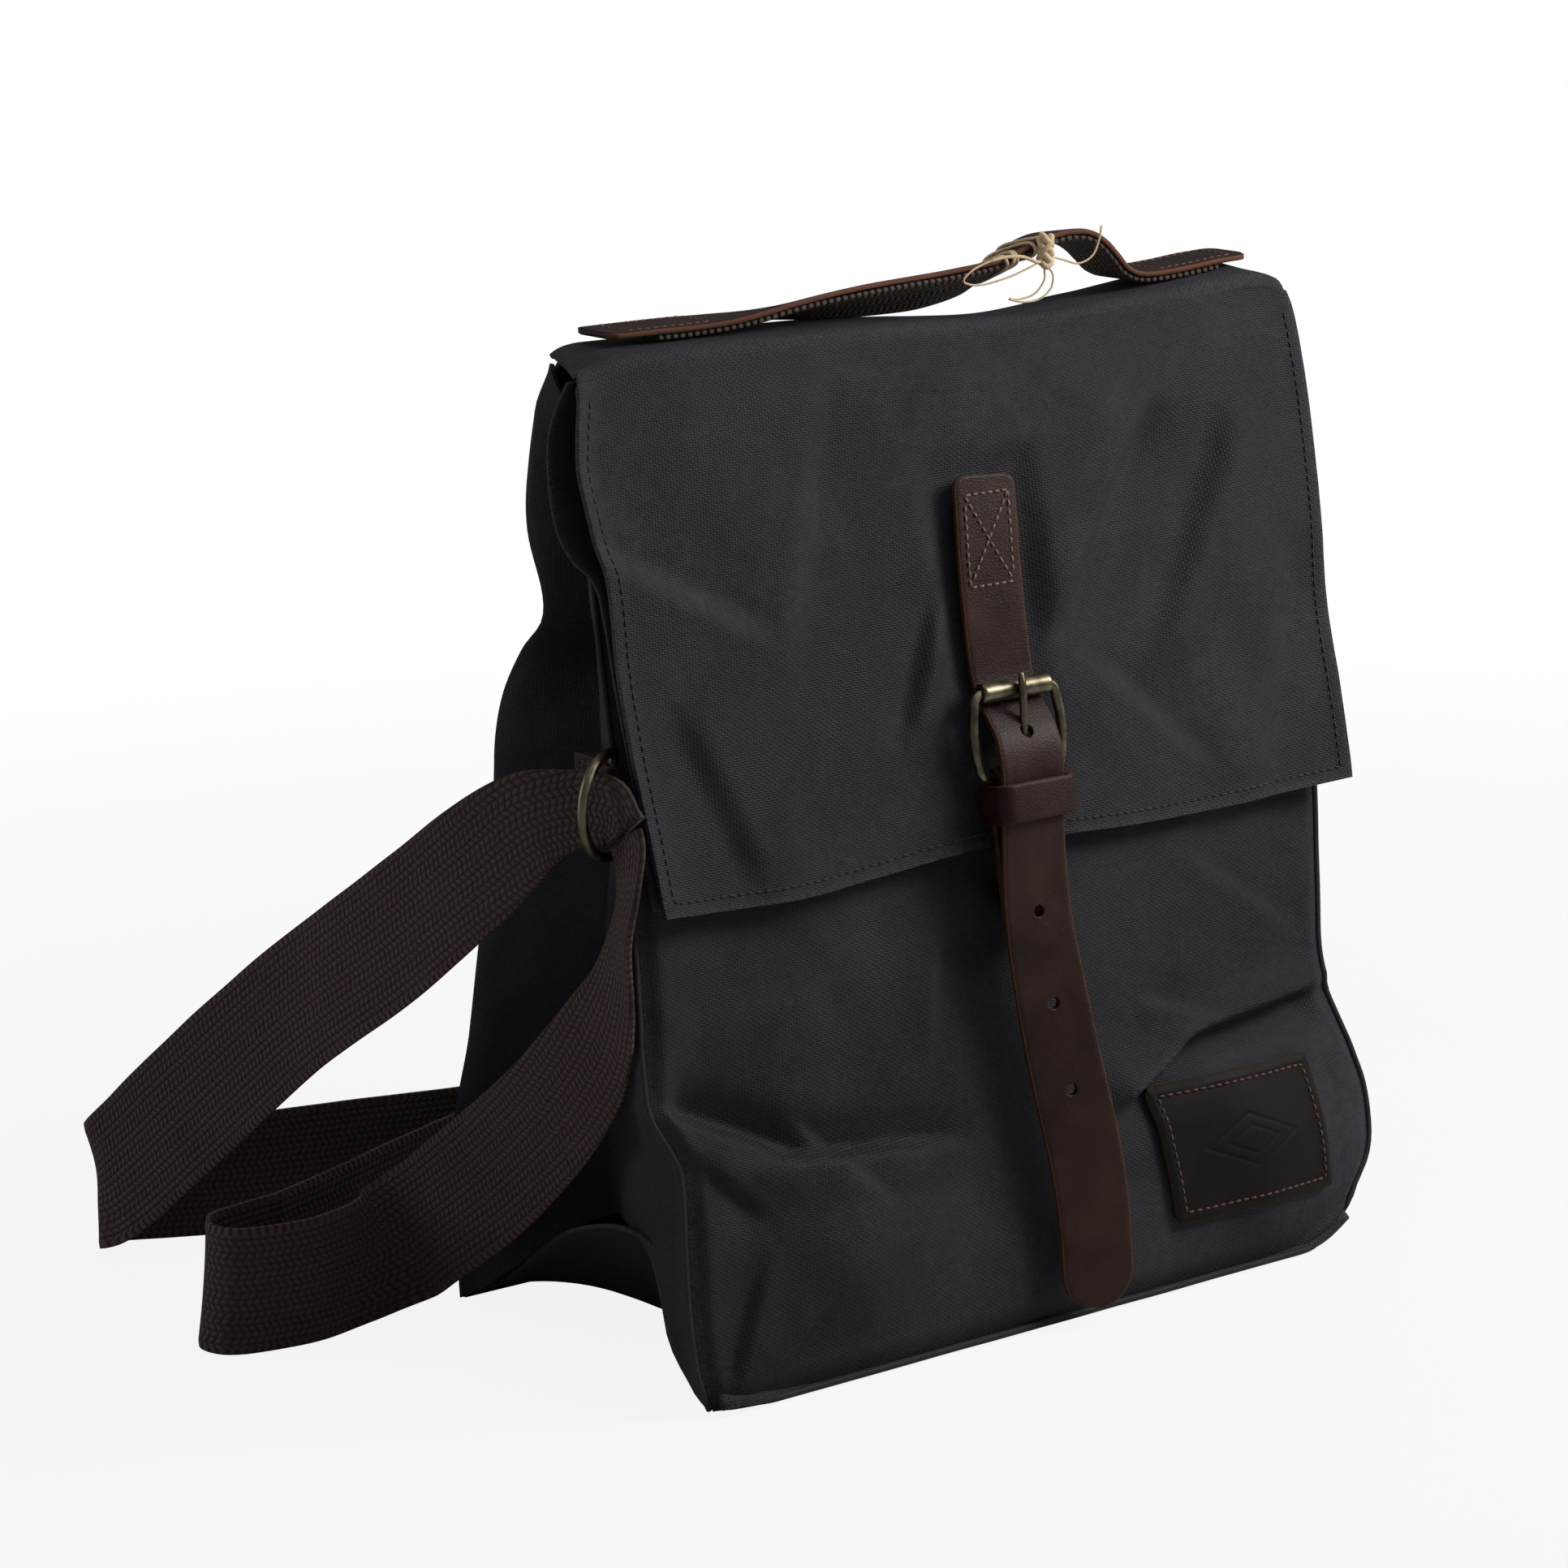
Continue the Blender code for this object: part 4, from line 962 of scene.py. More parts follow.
def flap_stitching():
    inset = 0.0046
    line = []
    for i in range(120):
        v = 0.336 - (0.336 - 0.1665 - inset) * i / 119
        u = table(FLAP_LEFT, v) + inset
        line.append((u, v))
    start = line[-1][0]
    end = table(FLAP_RIGHT, 0.167) - inset
    for i in range(1, 200):
        u = start + (end - start) * i / 199
        line.append((u, table(FLAP_EDGE, u) + inset))
    for i in range(120):
        v = 0.1665 + inset + (0.336 - 0.1665 - inset) * i / 119
        line.append((table(FLAP_RIGHT, v) - inset, v))
    spots = []
    for u, v in line:
        held = 1 - 0.75 * ease((v - 0.325) / 0.02)
        s = (u - table(FLAP_LEFT, v)) / (table(FLAP_RIGHT, v) - table(FLAP_LEFT, v))
        extra = flap_relief(u, v) * held + 0.0035 * ease((0.03 - s) / 0.03) * bump(v, 0.305, 0.04)
        spots.append(flap_spot(u, v, extra + 0.0004))
    piece = stitches("flap_stitching", spots, SEAM_THREAD,
                     pitch=0.0034, length=0.0026, radius=0.00036, out=OUT)
    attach(piece, "flap")


# ---------------------------------------------------------------- closure strap and buckle

STRAP_PATH = [
    (0.2930, 0.0000, 0.0120, 0.0, 0.0256), (0.2780, -0.0008, 0.0120, 0.0, 0.0256),
    (0.2620, -0.0016, 0.0118, 0.0, 0.0256), (0.2450, -0.0016, 0.0114, 0.0, 0.0256),
    (0.2330, -0.0010, 0.0106, 0.0, 0.0256), (0.2265, -0.0004, 0.0103, 0.0, 0.0256),
    (0.2215, 0.0000, 0.0107, 0.0, 0.0256), (0.2160, 0.0000, 0.0125, 0.0, 0.0256),
    (0.2112, 0.0000, 0.0162, 0.0, 0.0256), (0.2060, -0.0004, 0.0198, 0.0, 0.0256),
    (0.2010, -0.0008, 0.0217, 0.0, 0.0258), (0.1950, -0.0010, 0.0223, 0.0, 0.0260),
    (0.1890, -0.0014, 0.0219, 0.0, 0.0257), (0.1780, -0.0020, 0.0208, 0.0, 0.0258),
    (0.1680, -0.0024, 0.0198, 1.0, 0.0259), (0.1560, -0.0028, 0.0190, 3.0, 0.0260),
    (0.1450, -0.0026, 0.0182, 5.0, 0.0262), (0.1300, -0.0014, 0.0174, 8.0, 0.0264),
    (0.1130, 0.0008, 0.0164, 11.0, 0.0266), (0.0950, 0.0034, 0.0154, 13.0, 0.0268),
    (0.0780, 0.0064, 0.0146, 14.0, 0.0270), (0.0600, 0.0092, 0.0140, 14.0, 0.0270),
    (0.0420, 0.0108, 0.0132, 13.0, 0.0268), (0.0250, 0.0110, 0.0122, 12.0, 0.0266),
    (0.0050, 0.0104, 0.0108, 11.0, 0.0264),
]
STRAP_HOLES = (0.2058, 0.1452, 0.1130, 0.0822)


def strap_state(v):
    """(u, n, turn) of the closure strap's centre line at a height."""
    rows = sorted((row[0], row) for row in STRAP_PATH)
    return [table([(h, row[k]) for h, row in rows], v) for k in (1, 2, 3)]


def strap_across(turn):
    a = math.radians(turn)
    return Vector((math.cos(a), 0, 0)) + OUT * math.sin(a)


def closure_strap():
    stations = []
    for v, u, n, turn, width in STRAP_PATH:
        stations.append((front(u, v, n), strap_across(turn), width))
    piece = band("closure_strap_leather", stations, 0.0024, STRAP_LEATHER, columns=16, steps=260,
                 soft=0.00025, seed=2.0, end_round=(0.0042, 0.0128), edge=0.30)
    punches = []
    for index, v in enumerate(STRAP_HOLES):
        u, n, turn = strap_state(v)
        above, below = strap_state(v + 0.002), strap_state(v - 0.002)
        along = (front(*[below[0], v - 0.002, below[1]])
                 - front(*[above[0], v + 0.002, above[1]])).normalized()
        normal = along.cross(strap_across(turn)).normalized()
        centre = front(u, v, n)
        punches.append(tube(f"hole_{index}", [centre - normal * 0.004, centre + normal * 0.004],
                            0.0021 if index else 0.0026, None, sides=20))
    carve(piece, punches)
    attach(piece, "flap")
    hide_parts("closure_strap")
    box_stitching()


def box_stitching():
    hx, top, bottom = 0.0093, 0.2868, 0.2560
    corners = [(-hx, top), (hx, top), (hx, bottom), (-hx, bottom), (-hx, top)]

    def path(a, b):
        spots = []
        for u, v in path_along([a, b], 30):
            middle, height, _ = strap_state(v)
            spots.append(front(u + middle, v, height + 0.0013))
        return spots
    made = []
    runs = list(zip(corners, corners[1:])) + [((-hx, top), (hx, bottom)), ((hx, top), (-hx, bottom))]
    for index, (a, b) in enumerate(runs):
        made.append(stitches(f"box_stitch_{index}", path(a, b), TAN_THREAD, pitch=0.0031, length=0.0022,
                             radius=0.00042, out=OUT))
    piece = join(made, "strap_box_stitching")
    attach(piece, "flap")
    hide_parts("strap_stitching")


def join(pieces, name):
    """One piece from several with the same finish."""
    work = bmesh.new()
    for piece in pieces:
        work.from_mesh(piece.data)
    mesh = bpy.data.meshes.new(name)
    work.to_mesh(mesh)
    work.free()
    finish = pieces[0].data.materials[0]
    for piece in pieces:
        bpy.data.objects.remove(piece, do_unlink=True)
    smooth(mesh)
    return link(mesh, name, finish)


HEEL = (0.1920, 0.0150)
ROLLER = (0.2205, 0.0158)


def buckle():
    corner, half = 0.0040, 0.0176
    (v0, n0), (v1, n1) = HEEL, ROLLER
    bend = corner / (v1 - v0)

    def at(u, share):
        return front(u, v0 + (v1 - v0) * share, n0 + (n1 - n0) * share)
    turns = [(math.sin(math.pi / 16 * i), math.cos(math.pi / 16 * i)) for i in range(1, 8)]
    right = [(-half + corner + (2 * half - 2 * corner) * i / 12, 0.0) for i in range(13)]
    right += [(half - corner + corner * sine, bend * (1 - cosine)) for sine, cosine in turns]
    right += [(half + 0.0013 * math.sin(math.pi * i / 12), bend + (1 - 2 * bend) * i / 12) for i in range(13)]
    right += [(half - corner + corner * cosine, 1 - bend * (1 - sine)) for sine, cosine in turns]
    line = [at(u, share) for u, share in right] + [at(-u, 1 - share) for u, share in right]
    piece = tube("buckle_frame_brass", line, 0.0018, BRASS, closed=True, sides=16)
    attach(piece, "buckle")
    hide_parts("buckle_frame")

    profile = [(-0.0146, 0.0020), (-0.0146, 0.0029), (-0.0142, 0.0033), (-0.0136, 0.0035), (-0.0128, 0.0034),
               (0.0128, 0.0034), (0.0136, 0.0035), (0.0142, 0.0033), (0.0146, 0.0029), (0.0146, 0.0020)]
    points, sides = [], 40
    centre = front(0, *ROLLER)
    for x, r in profile:
        for k in range(sides):
            a = 2 * math.pi * k / sides
            points.append(centre + Vector((x, 0, 0)) + RISE * (r * math.cos(a)) + OUT * (r * math.sin(a)))
    faces = ring_faces(len(profile), sides, closed=True, flipped=True)
    roller = build("roller_brass", points, faces, BRASS)
    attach(roller, "roller")
    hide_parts("buckle_roller")

    stem = [front(0, v0 + dv, n0 + dn) for dv, dn in (
        (0.0070, 0.0032), (0.0110, 0.0035), (0.0150, 0.0040), (0.0200, 0.0047), (0.0250, 0.0053),
        (0.0290, 0.0056), (0.0325, 0.0057), (0.0338, 0.0056))]
    ring = [front(0, v0 + 0.0029 * math.sin(2 * math.pi * i / 20),
                  n0 + 0.0029 * math.cos(2 * math.pi * i / 20))
            for i in range(20)]
    loop = tube("prong_loop", ring, 0.0010, BRASS, closed=True, sides=10)
    tongue = tube("prong_tongue", spline([tuple(p) for p in [front(0, v0 + 0.0004, n0 + 0.0031), *stem]], 40),
                  lambda t: 0.0014 * (1 - 0.35 * ease((t - 0.88) / 0.12)), BRASS, sides=12)
    prong = join([loop, tongue], "prong_brass")
    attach(prong, "prong")
    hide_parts("buckle_prong")


def chape():
    """Two leather layers that meet below the heel bar and fold round it."""
    v0, n0 = HEEL
    outline = [(0.1392, 0.0108), (0.1480, 0.0106), (0.1700, 0.0107), (0.1835, 0.0109), (0.1870, 0.0111)]
    for i in range(13):
        a = math.radians(195 - 235 * i / 12)
        outline.append((v0 + 0.0037 * math.sin(a), n0 + 0.0037 * math.cos(a)))
    outline += [(0.1862, 0.0150), (0.1820, 0.0140), (0.1700, 0.0138), (0.1480, 0.0137), (0.1392, 0.0134)]
    half = 0.0124
    spread = [-1, -0.95, -0.85, -0.4, 0, 0.4, 0.85, 0.95, 1]
    points, wear = [], []
    for x in [half * share for share in spread]:
        inset = 0.0004 * ease((abs(x) / half - 0.8) / 0.2)
        for v, n in outline:
            middle = 0.0122 if v < 0.184 else n0
            points.append(front(x, v, n + (inset if n < middle else -inset)))
            wear.append(0.9 * ease((abs(x) / half - 0.86) / 0.12) if v > 0.1395 else 0.7)
    faces = capped(ring_faces(len(spread), len(outline), flipped=True), len(points), len(outline))
    piece = build("chape_leather", points, faces, STRAP_LEATHER, wear=wear, outward=True, rounded=False)
    tools = [tube("bore", [front(-0.02, v0, n0), front(0.02, v0, n0)], 0.0020, None, sides=20)]
    spots = [front(x, v0 + dv, n0 + dn) for x in (-0.0026, 0.0026)
             for dv in (-0.0046, 0.006) for dn in (-0.006, 0.006)]
    walls = [(0, 1, 3, 2), (4, 6, 7, 5), (0, 4, 5, 1), (2, 3, 7, 6), (0, 2, 6, 4), (1, 5, 7, 3)]
    tools.append(build("prong_slot", spots, walls, outward=True, rounded=False))
    carve(piece, tools, 0.0004)
    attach(piece, "flap")
    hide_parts("chape_tab")
    line = []
    for i in range(24):
        line.append(front(-0.0098, 0.1850 - 0.0430 * i / 23, 0.01385))
    for i in range(12):
        line.append(front(-0.0098 + 0.0196 * i / 11, 0.1420, 0.0138))
    for i in range(24):
        line.append(front(0.0098, 0.1420 + 0.0430 * i / 23, 0.01385))
    thread = stitches("chape_stitching", line, RUST_THREAD,
                      pitch=0.0032, length=0.0023, radius=0.00036, out=OUT)
    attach(thread, "flap")


def keeper():
    half, low, high, wall = 0.0149, 0.0103, 0.0237, 0.0015
    middle, tall = (low + high) / 2, (high - low) / 2
    points, wear = [], []
    profile = [(-0.0065, 0.0), (-0.0065, 1.0), (-0.0060, 1.25), (-0.0052, 1.30), (0.0, 1.34), (0.0052, 1.30),
               (0.0060, 1.25), (0.0065, 1.0), (0.0065, 0.0)]
    loop = []
    for index, (sx, sy) in enumerate(((1, 1), (-1, 1), (-1, -1), (1, -1))):
        for step in range(7):
            a = math.pi / 2 * (index + step / 6)
            loop.append((sx * (half - 0.0035), sy * (tall - 0.0035), math.cos(a), math.sin(a)))
    for cx, cy, nx, ny in loop:
        for dv, lift in profile:
            r = 0.0035 + wall * lift
            dent = 0.0006 * max(0.0, -ny)
            points.append(front(cx + r * nx, 0.1831 + dv, middle + cy + (r - dent) * ny))
            wear.append(0.9 if abs(dv) > 0.0063 else 0.0)
    faces = ring_faces(len(loop), len(profile), closed=True)
    piece = build("keeper_leather", points, faces, STRAP_LEATHER, wear=wear, outward=True, rounded=False)
    carve(piece, [], 0.0003)
    smooth(piece.data)
    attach(piece, "keeper")
    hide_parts("keeper_loop")


# ---------------------------------------------------------------- label


LABEL_LEAN = 0.13


def label():
    centre_u, centre_v = 0.0875, 0.0485
    half_x, half_y, radius = 0.0362, 0.0252, 0.0040

    def relief(x, y):
        inset = min(half_x - abs(x), half_y - abs(y))
        rim = 0.0004 * bump(inset, 0.0028, 0.0018)
        diamond = abs(x) / 0.0190 + abs(y) / 0.0095
        line = 0.00045 * bump(diamond, 1.0, 0.085)
        inner = 0.00045 * bump(diamond, 0.55, 0.07)
        return rim - line - inner

    def place(s, t):
        x, y = -half_x + 2 * half_x * s, -half_y + 2 * half_y * t
        cx, cy = max(abs(x) - (half_x - radius), 0), max(abs(y) - (half_y - radius), 0)
        reach = math.hypot(cx, cy)
        if cx > 0 and cy > 0:
            squash = max(cx, cy) / reach
            x = math.copysign(half_x - radius + cx * squash, x)
            y = math.copysign(half_y - radius + cy * squash, y)
        u, v = centre_u + x - LABEL_LEAN * y, centre_v + y
        inset = min(half_x - abs(x), half_y - abs(y))
        n = 0.0024 + front_relief(u, v) - 0.0005 * (1 - ease(inset / 0.0012)) + relief(x, y)
        return front(u, v, n), (x, y), 1 - ease(inset / 0.0016)
    piece = cloth("label_leather", 90, 130, place, 0.0022, LABEL_LEATHER, rounded=False)
    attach(piece, "bag")
    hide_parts("label_patch")
    line = []
    for x, y in path_along(rectangle(half_x - 0.0042, half_y - 0.0042), 30):
        u, v = centre_u + x - LABEL_LEAN * y, centre_v + y
        line.append(front(u, v, 0.0026 + front_relief(u, v)))
    thread = stitches("label_thread", line, RUST_THREAD, pitch=0.0033, length=0.0023, radius=0.00042, out=OUT)
    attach(thread, "bag")
    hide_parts("label_stitching")


# ---------------------------------------------------------------- handle

HANDLE = [
    (-0.1330, 0.3466, 0), (-0.1150, 0.3465, 0), (-0.1000, 0.3464, 0), (-0.0850, 0.3463, 3),
    (-0.0720, 0.3468, 8), (-0.0585, 0.3477, 14), (-0.0440, 0.3478, 22), (-0.0280, 0.3478, 29),
    (-0.0100, 0.3480, 33), (0.0060, 0.3485, 34), (0.0220, 0.3505, 30), (0.0320, 0.3538, 22),
    (0.0420, 0.3580, 15), (0.0520, 0.3611, 11), (0.0600, 0.3620, 9), (0.0670, 0.3611, 8),
    (0.0730, 0.3580, 6), (0.0780, 0.3535, 4), (0.0835, 0.3484, 2), (0.0920, 0.3460, 0),
    (0.1100, 0.3464, 0), (0.1250, 0.3476, 0), (0.1390, 0.3482, 0),
]
HANDLE_Y, HANDLE_HALF = -0.0020, 0.01125


def handle_state(x):
    """The height of the handle's middle and the tilt that lifts its front edge."""
    return (table([(row[0], row[1]) for row in HANDLE], x),
            math.radians(table([(row[0], row[2]) for row in HANDLE], x)))


def handle_stations(offset, trim, width):
    line = HANDLE[1:-1] if trim else HANDLE
    stations = []
    for i, (x, height, tilt) in enumerate(line):
        before, after = line[max(i - 1, 0)], line[min(i + 1, len(line) - 1)]
        run = math.hypot(after[0] - before[0], after[1] - before[1])
        lean = math.radians(tilt)
        rise, ahead = (after[1] - before[1]) / run, (after[0] - before[0]) / run
        normal = Vector((-rise, math.sin(lean) * ahead, math.cos(lean) * ahead))
        spot = Vector((x, HANDLE_Y, height)) + normal * offset
        stations.append((tuple(spot), (0, math.cos(lean), -math.sin(lean)), width))
    return stations


def handle():
    strip = band("handle_strip", handle_stations(0.0010, False, 2 * HANDLE_HALF), 0.0021, HANDLE_LEATHER,
                 columns=14, steps=240, soft=0.00015, seed=6.0, end_round=(0.0035, 0.0045), edge=0.22)
    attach(strip, "bag")
    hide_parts("handle_leather")
    web = band("handle_web", handle_stations(-0.0010, True, 0.0212), 0.0018, HANDLE_WEB, columns=12,
               steps=220, soft=0.00015, seed=7.0, edge=0.3)
    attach(web, "bag")
    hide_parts("handle_webbing")
    for name, node, centre in (("handle_thread_left", "handle_stitching_left", -0.1090),
                               ("handle_thread_right", "handle_stitching_right", 0.1160)):
        line = []
        for x, y in path_along(rectangle(0.0165, -0.0080), 16):
            line.append((centre + x, HANDLE_Y + y, handle_state(centre + x)[0] + 0.0020))
        thread = stitches(name, line, RUST_THREAD, pitch=0.0033, length=0.0023, radius=0.00036, out=(0, 0, 1))
        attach(thread, "bag")
        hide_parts(node)


def twine():
    """Tag string wound round the handle, with its knot and thin loose loops."""
    def wrap(x, angle, grow):
        height, lean = handle_state(x)
        across = Vector((0, math.cos(lean), -math.sin(lean)))
        normal = Vector((0, math.sin(lean), math.cos(lean)))
        c, d = math.cos(angle), math.sin(angle)
        flat = (abs(c) ** 0.6 * (1 if c > 0 else -1), abs(d) ** 0.6 * (1 if d > 0 else -1))
        return (Vector((x, HANDLE_Y, height)) + across * flat[0] * (HANDLE_HALF + grow)
                + normal * flat[1] * (0.0020 + grow))
    turns = []
    for i in range(61):
        share = i / 60
        x = 0.0265 + 0.0165 * share + 0.0022 * math.sin(9.0 * share)
        turns.append(tuple(wrap(x, math.radians(60) + 2 * math.pi * 4.25 * share, 0.0006 + 0.0004 * share)))
    knot = Vector((0.0445, HANDLE_Y - HANDLE_HALF - 0.0012, handle_state(0.0445)[0] + 0.0005))

    def near(points):
        return [tuple(knot + Vector((x / 1000, y / 1000, z / 1000))) for x, y, z in points]
    left_loop = near([(-3, -1.5, -3), (-12, -3.0, -0.5), (-22, -3.5, 0), (-32, -3.0, -2.5), (-37, -2.5, -6.5),
                      (-30, -2.5, -8.5), (-18, -2.6, -7.0), (-8, -2.2, -4.5), (-2, -1.5, -3.0)])
    low_loop = near([(0, -1.8, -5.0), (2.0, -2.4, -8.0), (0.5, -3.0, -12.5), (-5, -3.4, -15.5),
                     (-12, -3.4, -15.8),
                     (-18, -3.0, -14.2), (-13, -2.8, -14.8), (-6, -2.4, -13.6), (-1.5, -2.0, -9.5),
                     (-1.0, -1.6, -5.5), (1, -1.5, -2)])
    right_loop = near([(6, -2.0, -3.0), (13, -2.6, -5.0), (19, -2.8, -3.0),
                       (22, -2.8, 2.0), (23.5, -2.4, 7.0)])
    path = spline([*turns, *left_loop, *low_loop, *right_loop], 620)
    piece = tube("tag_twine", path, lambda share: 0.00062 if share < 0.66 else 0.00036, TWINE, sides=7)
    coils = []
    for i in range(49):
        a = 2 * math.pi * 4.5 * i / 48
        coils.append(tuple(knot + Vector((0.0021 * math.cos(a), -0.0008 - 0.0018 * math.sin(a),
                                          -0.0045 + 0.0095 * i / 48 + 0.0011 * math.sin(2.3 * a)))))
    tie = tube("twine_knot", spline(coils, 150), 0.0012, TWINE, sides=7)
    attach(tie, "bag")
    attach(piece, "bag")
    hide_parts("twine_tie")


# ---------------------------------------------------------------- side rings

RING_AT = Vector((0.1485, -0.0312, 0.2000))


def ring_point(side, x, z):
    """A point in a side ring's plane: x towards its bow, z up its straight bar."""
    a = math.radians(205) if side < 0 else math.radians(40)
    return Vector((side * RING_AT.x + x * math.cos(a), RING_AT.y + x * math.sin(a), RING_AT.z + z))


def side_ring(name, node, body, side):
    line = [ring_point(side, 0, -0.0158 + 0.0316 * i / 14) for i in range(15)]
    for i in range(41):
        a = math.pi / 2 - math.pi * i / 40
        line.append(ring_point(side, 0.0004 + 0.0200 * abs(math.cos(a)) ** 0.80, 0.0172 * math.sin(a)))
    piece = tube(name, line, 0.00175, BRASS, closed=True, sides=14)
    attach(piece, body)
    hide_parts(node)


def ring_tab(name, node, side):
    """Leather folded round the ring's bar and sewn flat to the gusset."""
    angles = [math.radians(90 + 180 * i / 14) for i in range(15)]
    rounded = [(side * -0.0033 * math.sin(a), 0.0033 * math.cos(a)) for a in angles]
    tail = 0.0240
    shape = rounded + [(side * 0.0033, 0.0030), (side * 0.0010, 0.0060), (side * -0.0004, 0.0100),
                       (side * -0.0004, tail), (side * -0.0033, tail), (side * -0.0033, 0.0100)]
    spread = [-1, -0.95, -0.85, -0.4, 0, 0.4, 0.85, 0.95, 1]
    points, wear = [], []
    for z in [0.0125 * share for share in spread]:
        for x, y in shape:
            points.append(Vector((side * RING_AT.x + x, RING_AT.y + y, RING_AT.z + z)))
            wear.append(0.9 * ease((abs(z) / 0.0125 - 0.86) / 0.12) if y < tail - 0.001 else 0.7)
    faces = capped(ring_faces(len(spread), len(shape)), len(points), len(shape))
    piece = build(name, points, faces, STRAP_LEATHER, wear=wear, outward=True, rounded=False)
    bar = tube("bar_hole", [ring_point(side, 0, -0.02), ring_point(side, 0, 0.02)], 0.0019, None, sides=18)
    carve(piece, [bar], 0.0004)
    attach(piece, "bag")
    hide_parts(node)
    corners = [(0.0110, -0.0100), (0.0215, -0.0100), (0.0215, 0.0100), (0.0110, 0.0100), (0.0110, -0.0100)]
    line = [(side * (RING_AT.x - 0.0004), RING_AT.y + y, RING_AT.z + z) for y, z in path_along(corners, 12)]
    thread = stitches(name + "_thread", line, RUST_THREAD, pitch=0.0032, length=0.0022, radius=0.00035,
                      out=(side, 0, 0))
    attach(thread, "bag")


# ---------------------------------------------------------------- shoulder strap

EDGE_Z = 0.0232
UP = (0, 0, 1)
RETURN_LINE = [
    ((-0.0560, 0.1500, EDGE_Z), UP, 1.0), ((-0.0800, 0.1455, EDGE_Z), UP, 1.0),
    ((-0.1250, 0.1280, EDGE_Z), (0, 0.05, 1), 1.0), ((-0.1750, 0.1080, EDGE_Z), (0, 0.05, 1), 1.0),
    ((-0.2060, 0.0975, EDGE_Z), UP, 1.0),
]
LOOP_LINE = [
    ((-0.2060, 0.0975, EDGE_Z), UP, 1.0), ((-0.2230, 0.0955, EDGE_Z), UP, 1.0),
    ((-0.2340, 0.0930, EDGE_Z), UP, 1.0), ((-0.2400, 0.0885, EDGE_Z), (0.06, -0.1, 1), 1.0),
    ((-0.2410, 0.0820, EDGE_Z), (0.08, -0.1, 1), 1.0), ((-0.2375, 0.0752, EDGE_Z), (0.08, -0.08, 1), 1.0),
    ((-0.2280, 0.0708, EDGE_Z), (0.06, -0.06, 1), 1.0), ((-0.2080, 0.0685, EDGE_Z), (0, -0.04, 1), 1.0),
    ((-0.1860, 0.0730, 0.0235), (0, 0, 1), 1.0), ((-0.1700, 0.0680, 0.0310), (0.1, 0.1, 1), 1.0),
    ((-0.1610, 0.0400, 0.0540), (-0.2, 0.2, 1), 1.0), ((-0.1590, 0.0180, 0.0720), (-0.4, 0.5, 1), 0.95),
    ((-0.1580, -0.0030, 0.0905), (-0.5, 0.8, 0.8), 0.88),
    ((-0.1575, -0.0240, 0.1130), (-0.4, 1.0, 0.6), 0.78),
    ((-0.1575, -0.0400, 0.1370), (0.1, 1.0, 0.4), 0.66), ((-0.1575, -0.0470, 0.1620), (0.42, 1.0, 0.1), 0.56),
    ((-0.1572, -0.0500, 0.1790), (0.35, 1.0, 0.3), 0.52), ((-0.1566, -0.0490, 0.1920), (0.1, 0.8, 1.0), 0.52),
    ((-0.1564, -0.0425, 0.1990), (0, 0.2, 1.0), 0.53), ((-0.1577, -0.0350, 0.2000), UP, 0.53),
    ((-0.1608, -0.0275, 0.1995), UP, 0.55), ((-0.1700, -0.0120, 0.1930), UP, 0.75),
    ((-0.1790, 0.0100, 0.1740), (0.1, -0.3, 1), 0.92), ((-0.1880, 0.0480, 0.1440), (0.1, -0.4, 1), 1.0),
    ((-0.1985, 0.0970, 0.1090), (0.1, -0.4, 1), 1.0), ((-0.2090, 0.1440, 0.0700), (0, -0.3, 1), 1.0),
    ((-0.2160, 0.1740, 0.0440), (0, -0.2, 1), 1.0), ((-0.2200, 0.1920, 0.0290), (0, -0.05, 1), 1.0),
    ((-0.2190, 0.2010, 0.0240), UP, 1.0), ((-0.2120, 0.2040, EDGE_Z), UP, 1.0),
    ((-0.1950, 0.1960, EDGE_Z), UP, 1.0), ((-0.1650, 0.1820, EDGE_Z), UP, 1.0),
    ((-0.1280, 0.1720, EDGE_Z), UP, 1.0), ((-0.0900, 0.1610, EDGE_Z), UP, 1.0),
    ((-0.0560, 0.1562, EDGE_Z), UP, 1.0),
]
MAIN_LINE = [
    ((-0.0560, 0.1562, EDGE_Z), UP, 1.0), ((-0.0300, 0.1560, EDGE_Z), UP, 1.0),
    ((0.0300, 0.1560, EDGE_Z), UP, 1.0), ((0.0900, 0.1540, EDGE_Z), UP, 1.0),
    ((0.1350, 0.1440, EDGE_Z), UP, 1.0), ((0.1620, 0.1200, 0.0240), UP, 1.0),
    ((0.1720, 0.0850, 0.0340), (0, 0.1, 1), 1.0), ((0.1730, 0.0600, 0.0640), (0, 0.5, 1), 1.0),
    ((0.1730, 0.0370, 0.1020), (0, 0.8, 1), 0.98), ((0.1730, 0.0180, 0.1370), (0, 0.8, 1), 0.92),
    ((0.1725, 0.0050, 0.1620), (0, 0.6, 1), 0.85), ((0.1650, -0.0010, 0.1830), (0, 0.3, 1), 0.74),
    ((0.1570, -0.0085, 0.1950), (0, 0.1, 1), 0.62), ((0.1520, -0.0180, 0.1990), UP, 0.54),
    ((0.1561, -0.0248, 0.2000), UP, 0.53), ((0.1612, -0.0284, 0.1995), UP, 0.53),
]


def webbing(name, line, steps, seed, node):
    stations = [(c, a, 0.0450 * w) for c, a, w in line]
    piece = band(name, stations, 0.0024, WEBBING, columns=18, steps=steps, soft=0.0007, seed=seed, edge=0.35)
    if node:
        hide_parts(node)
    return piece


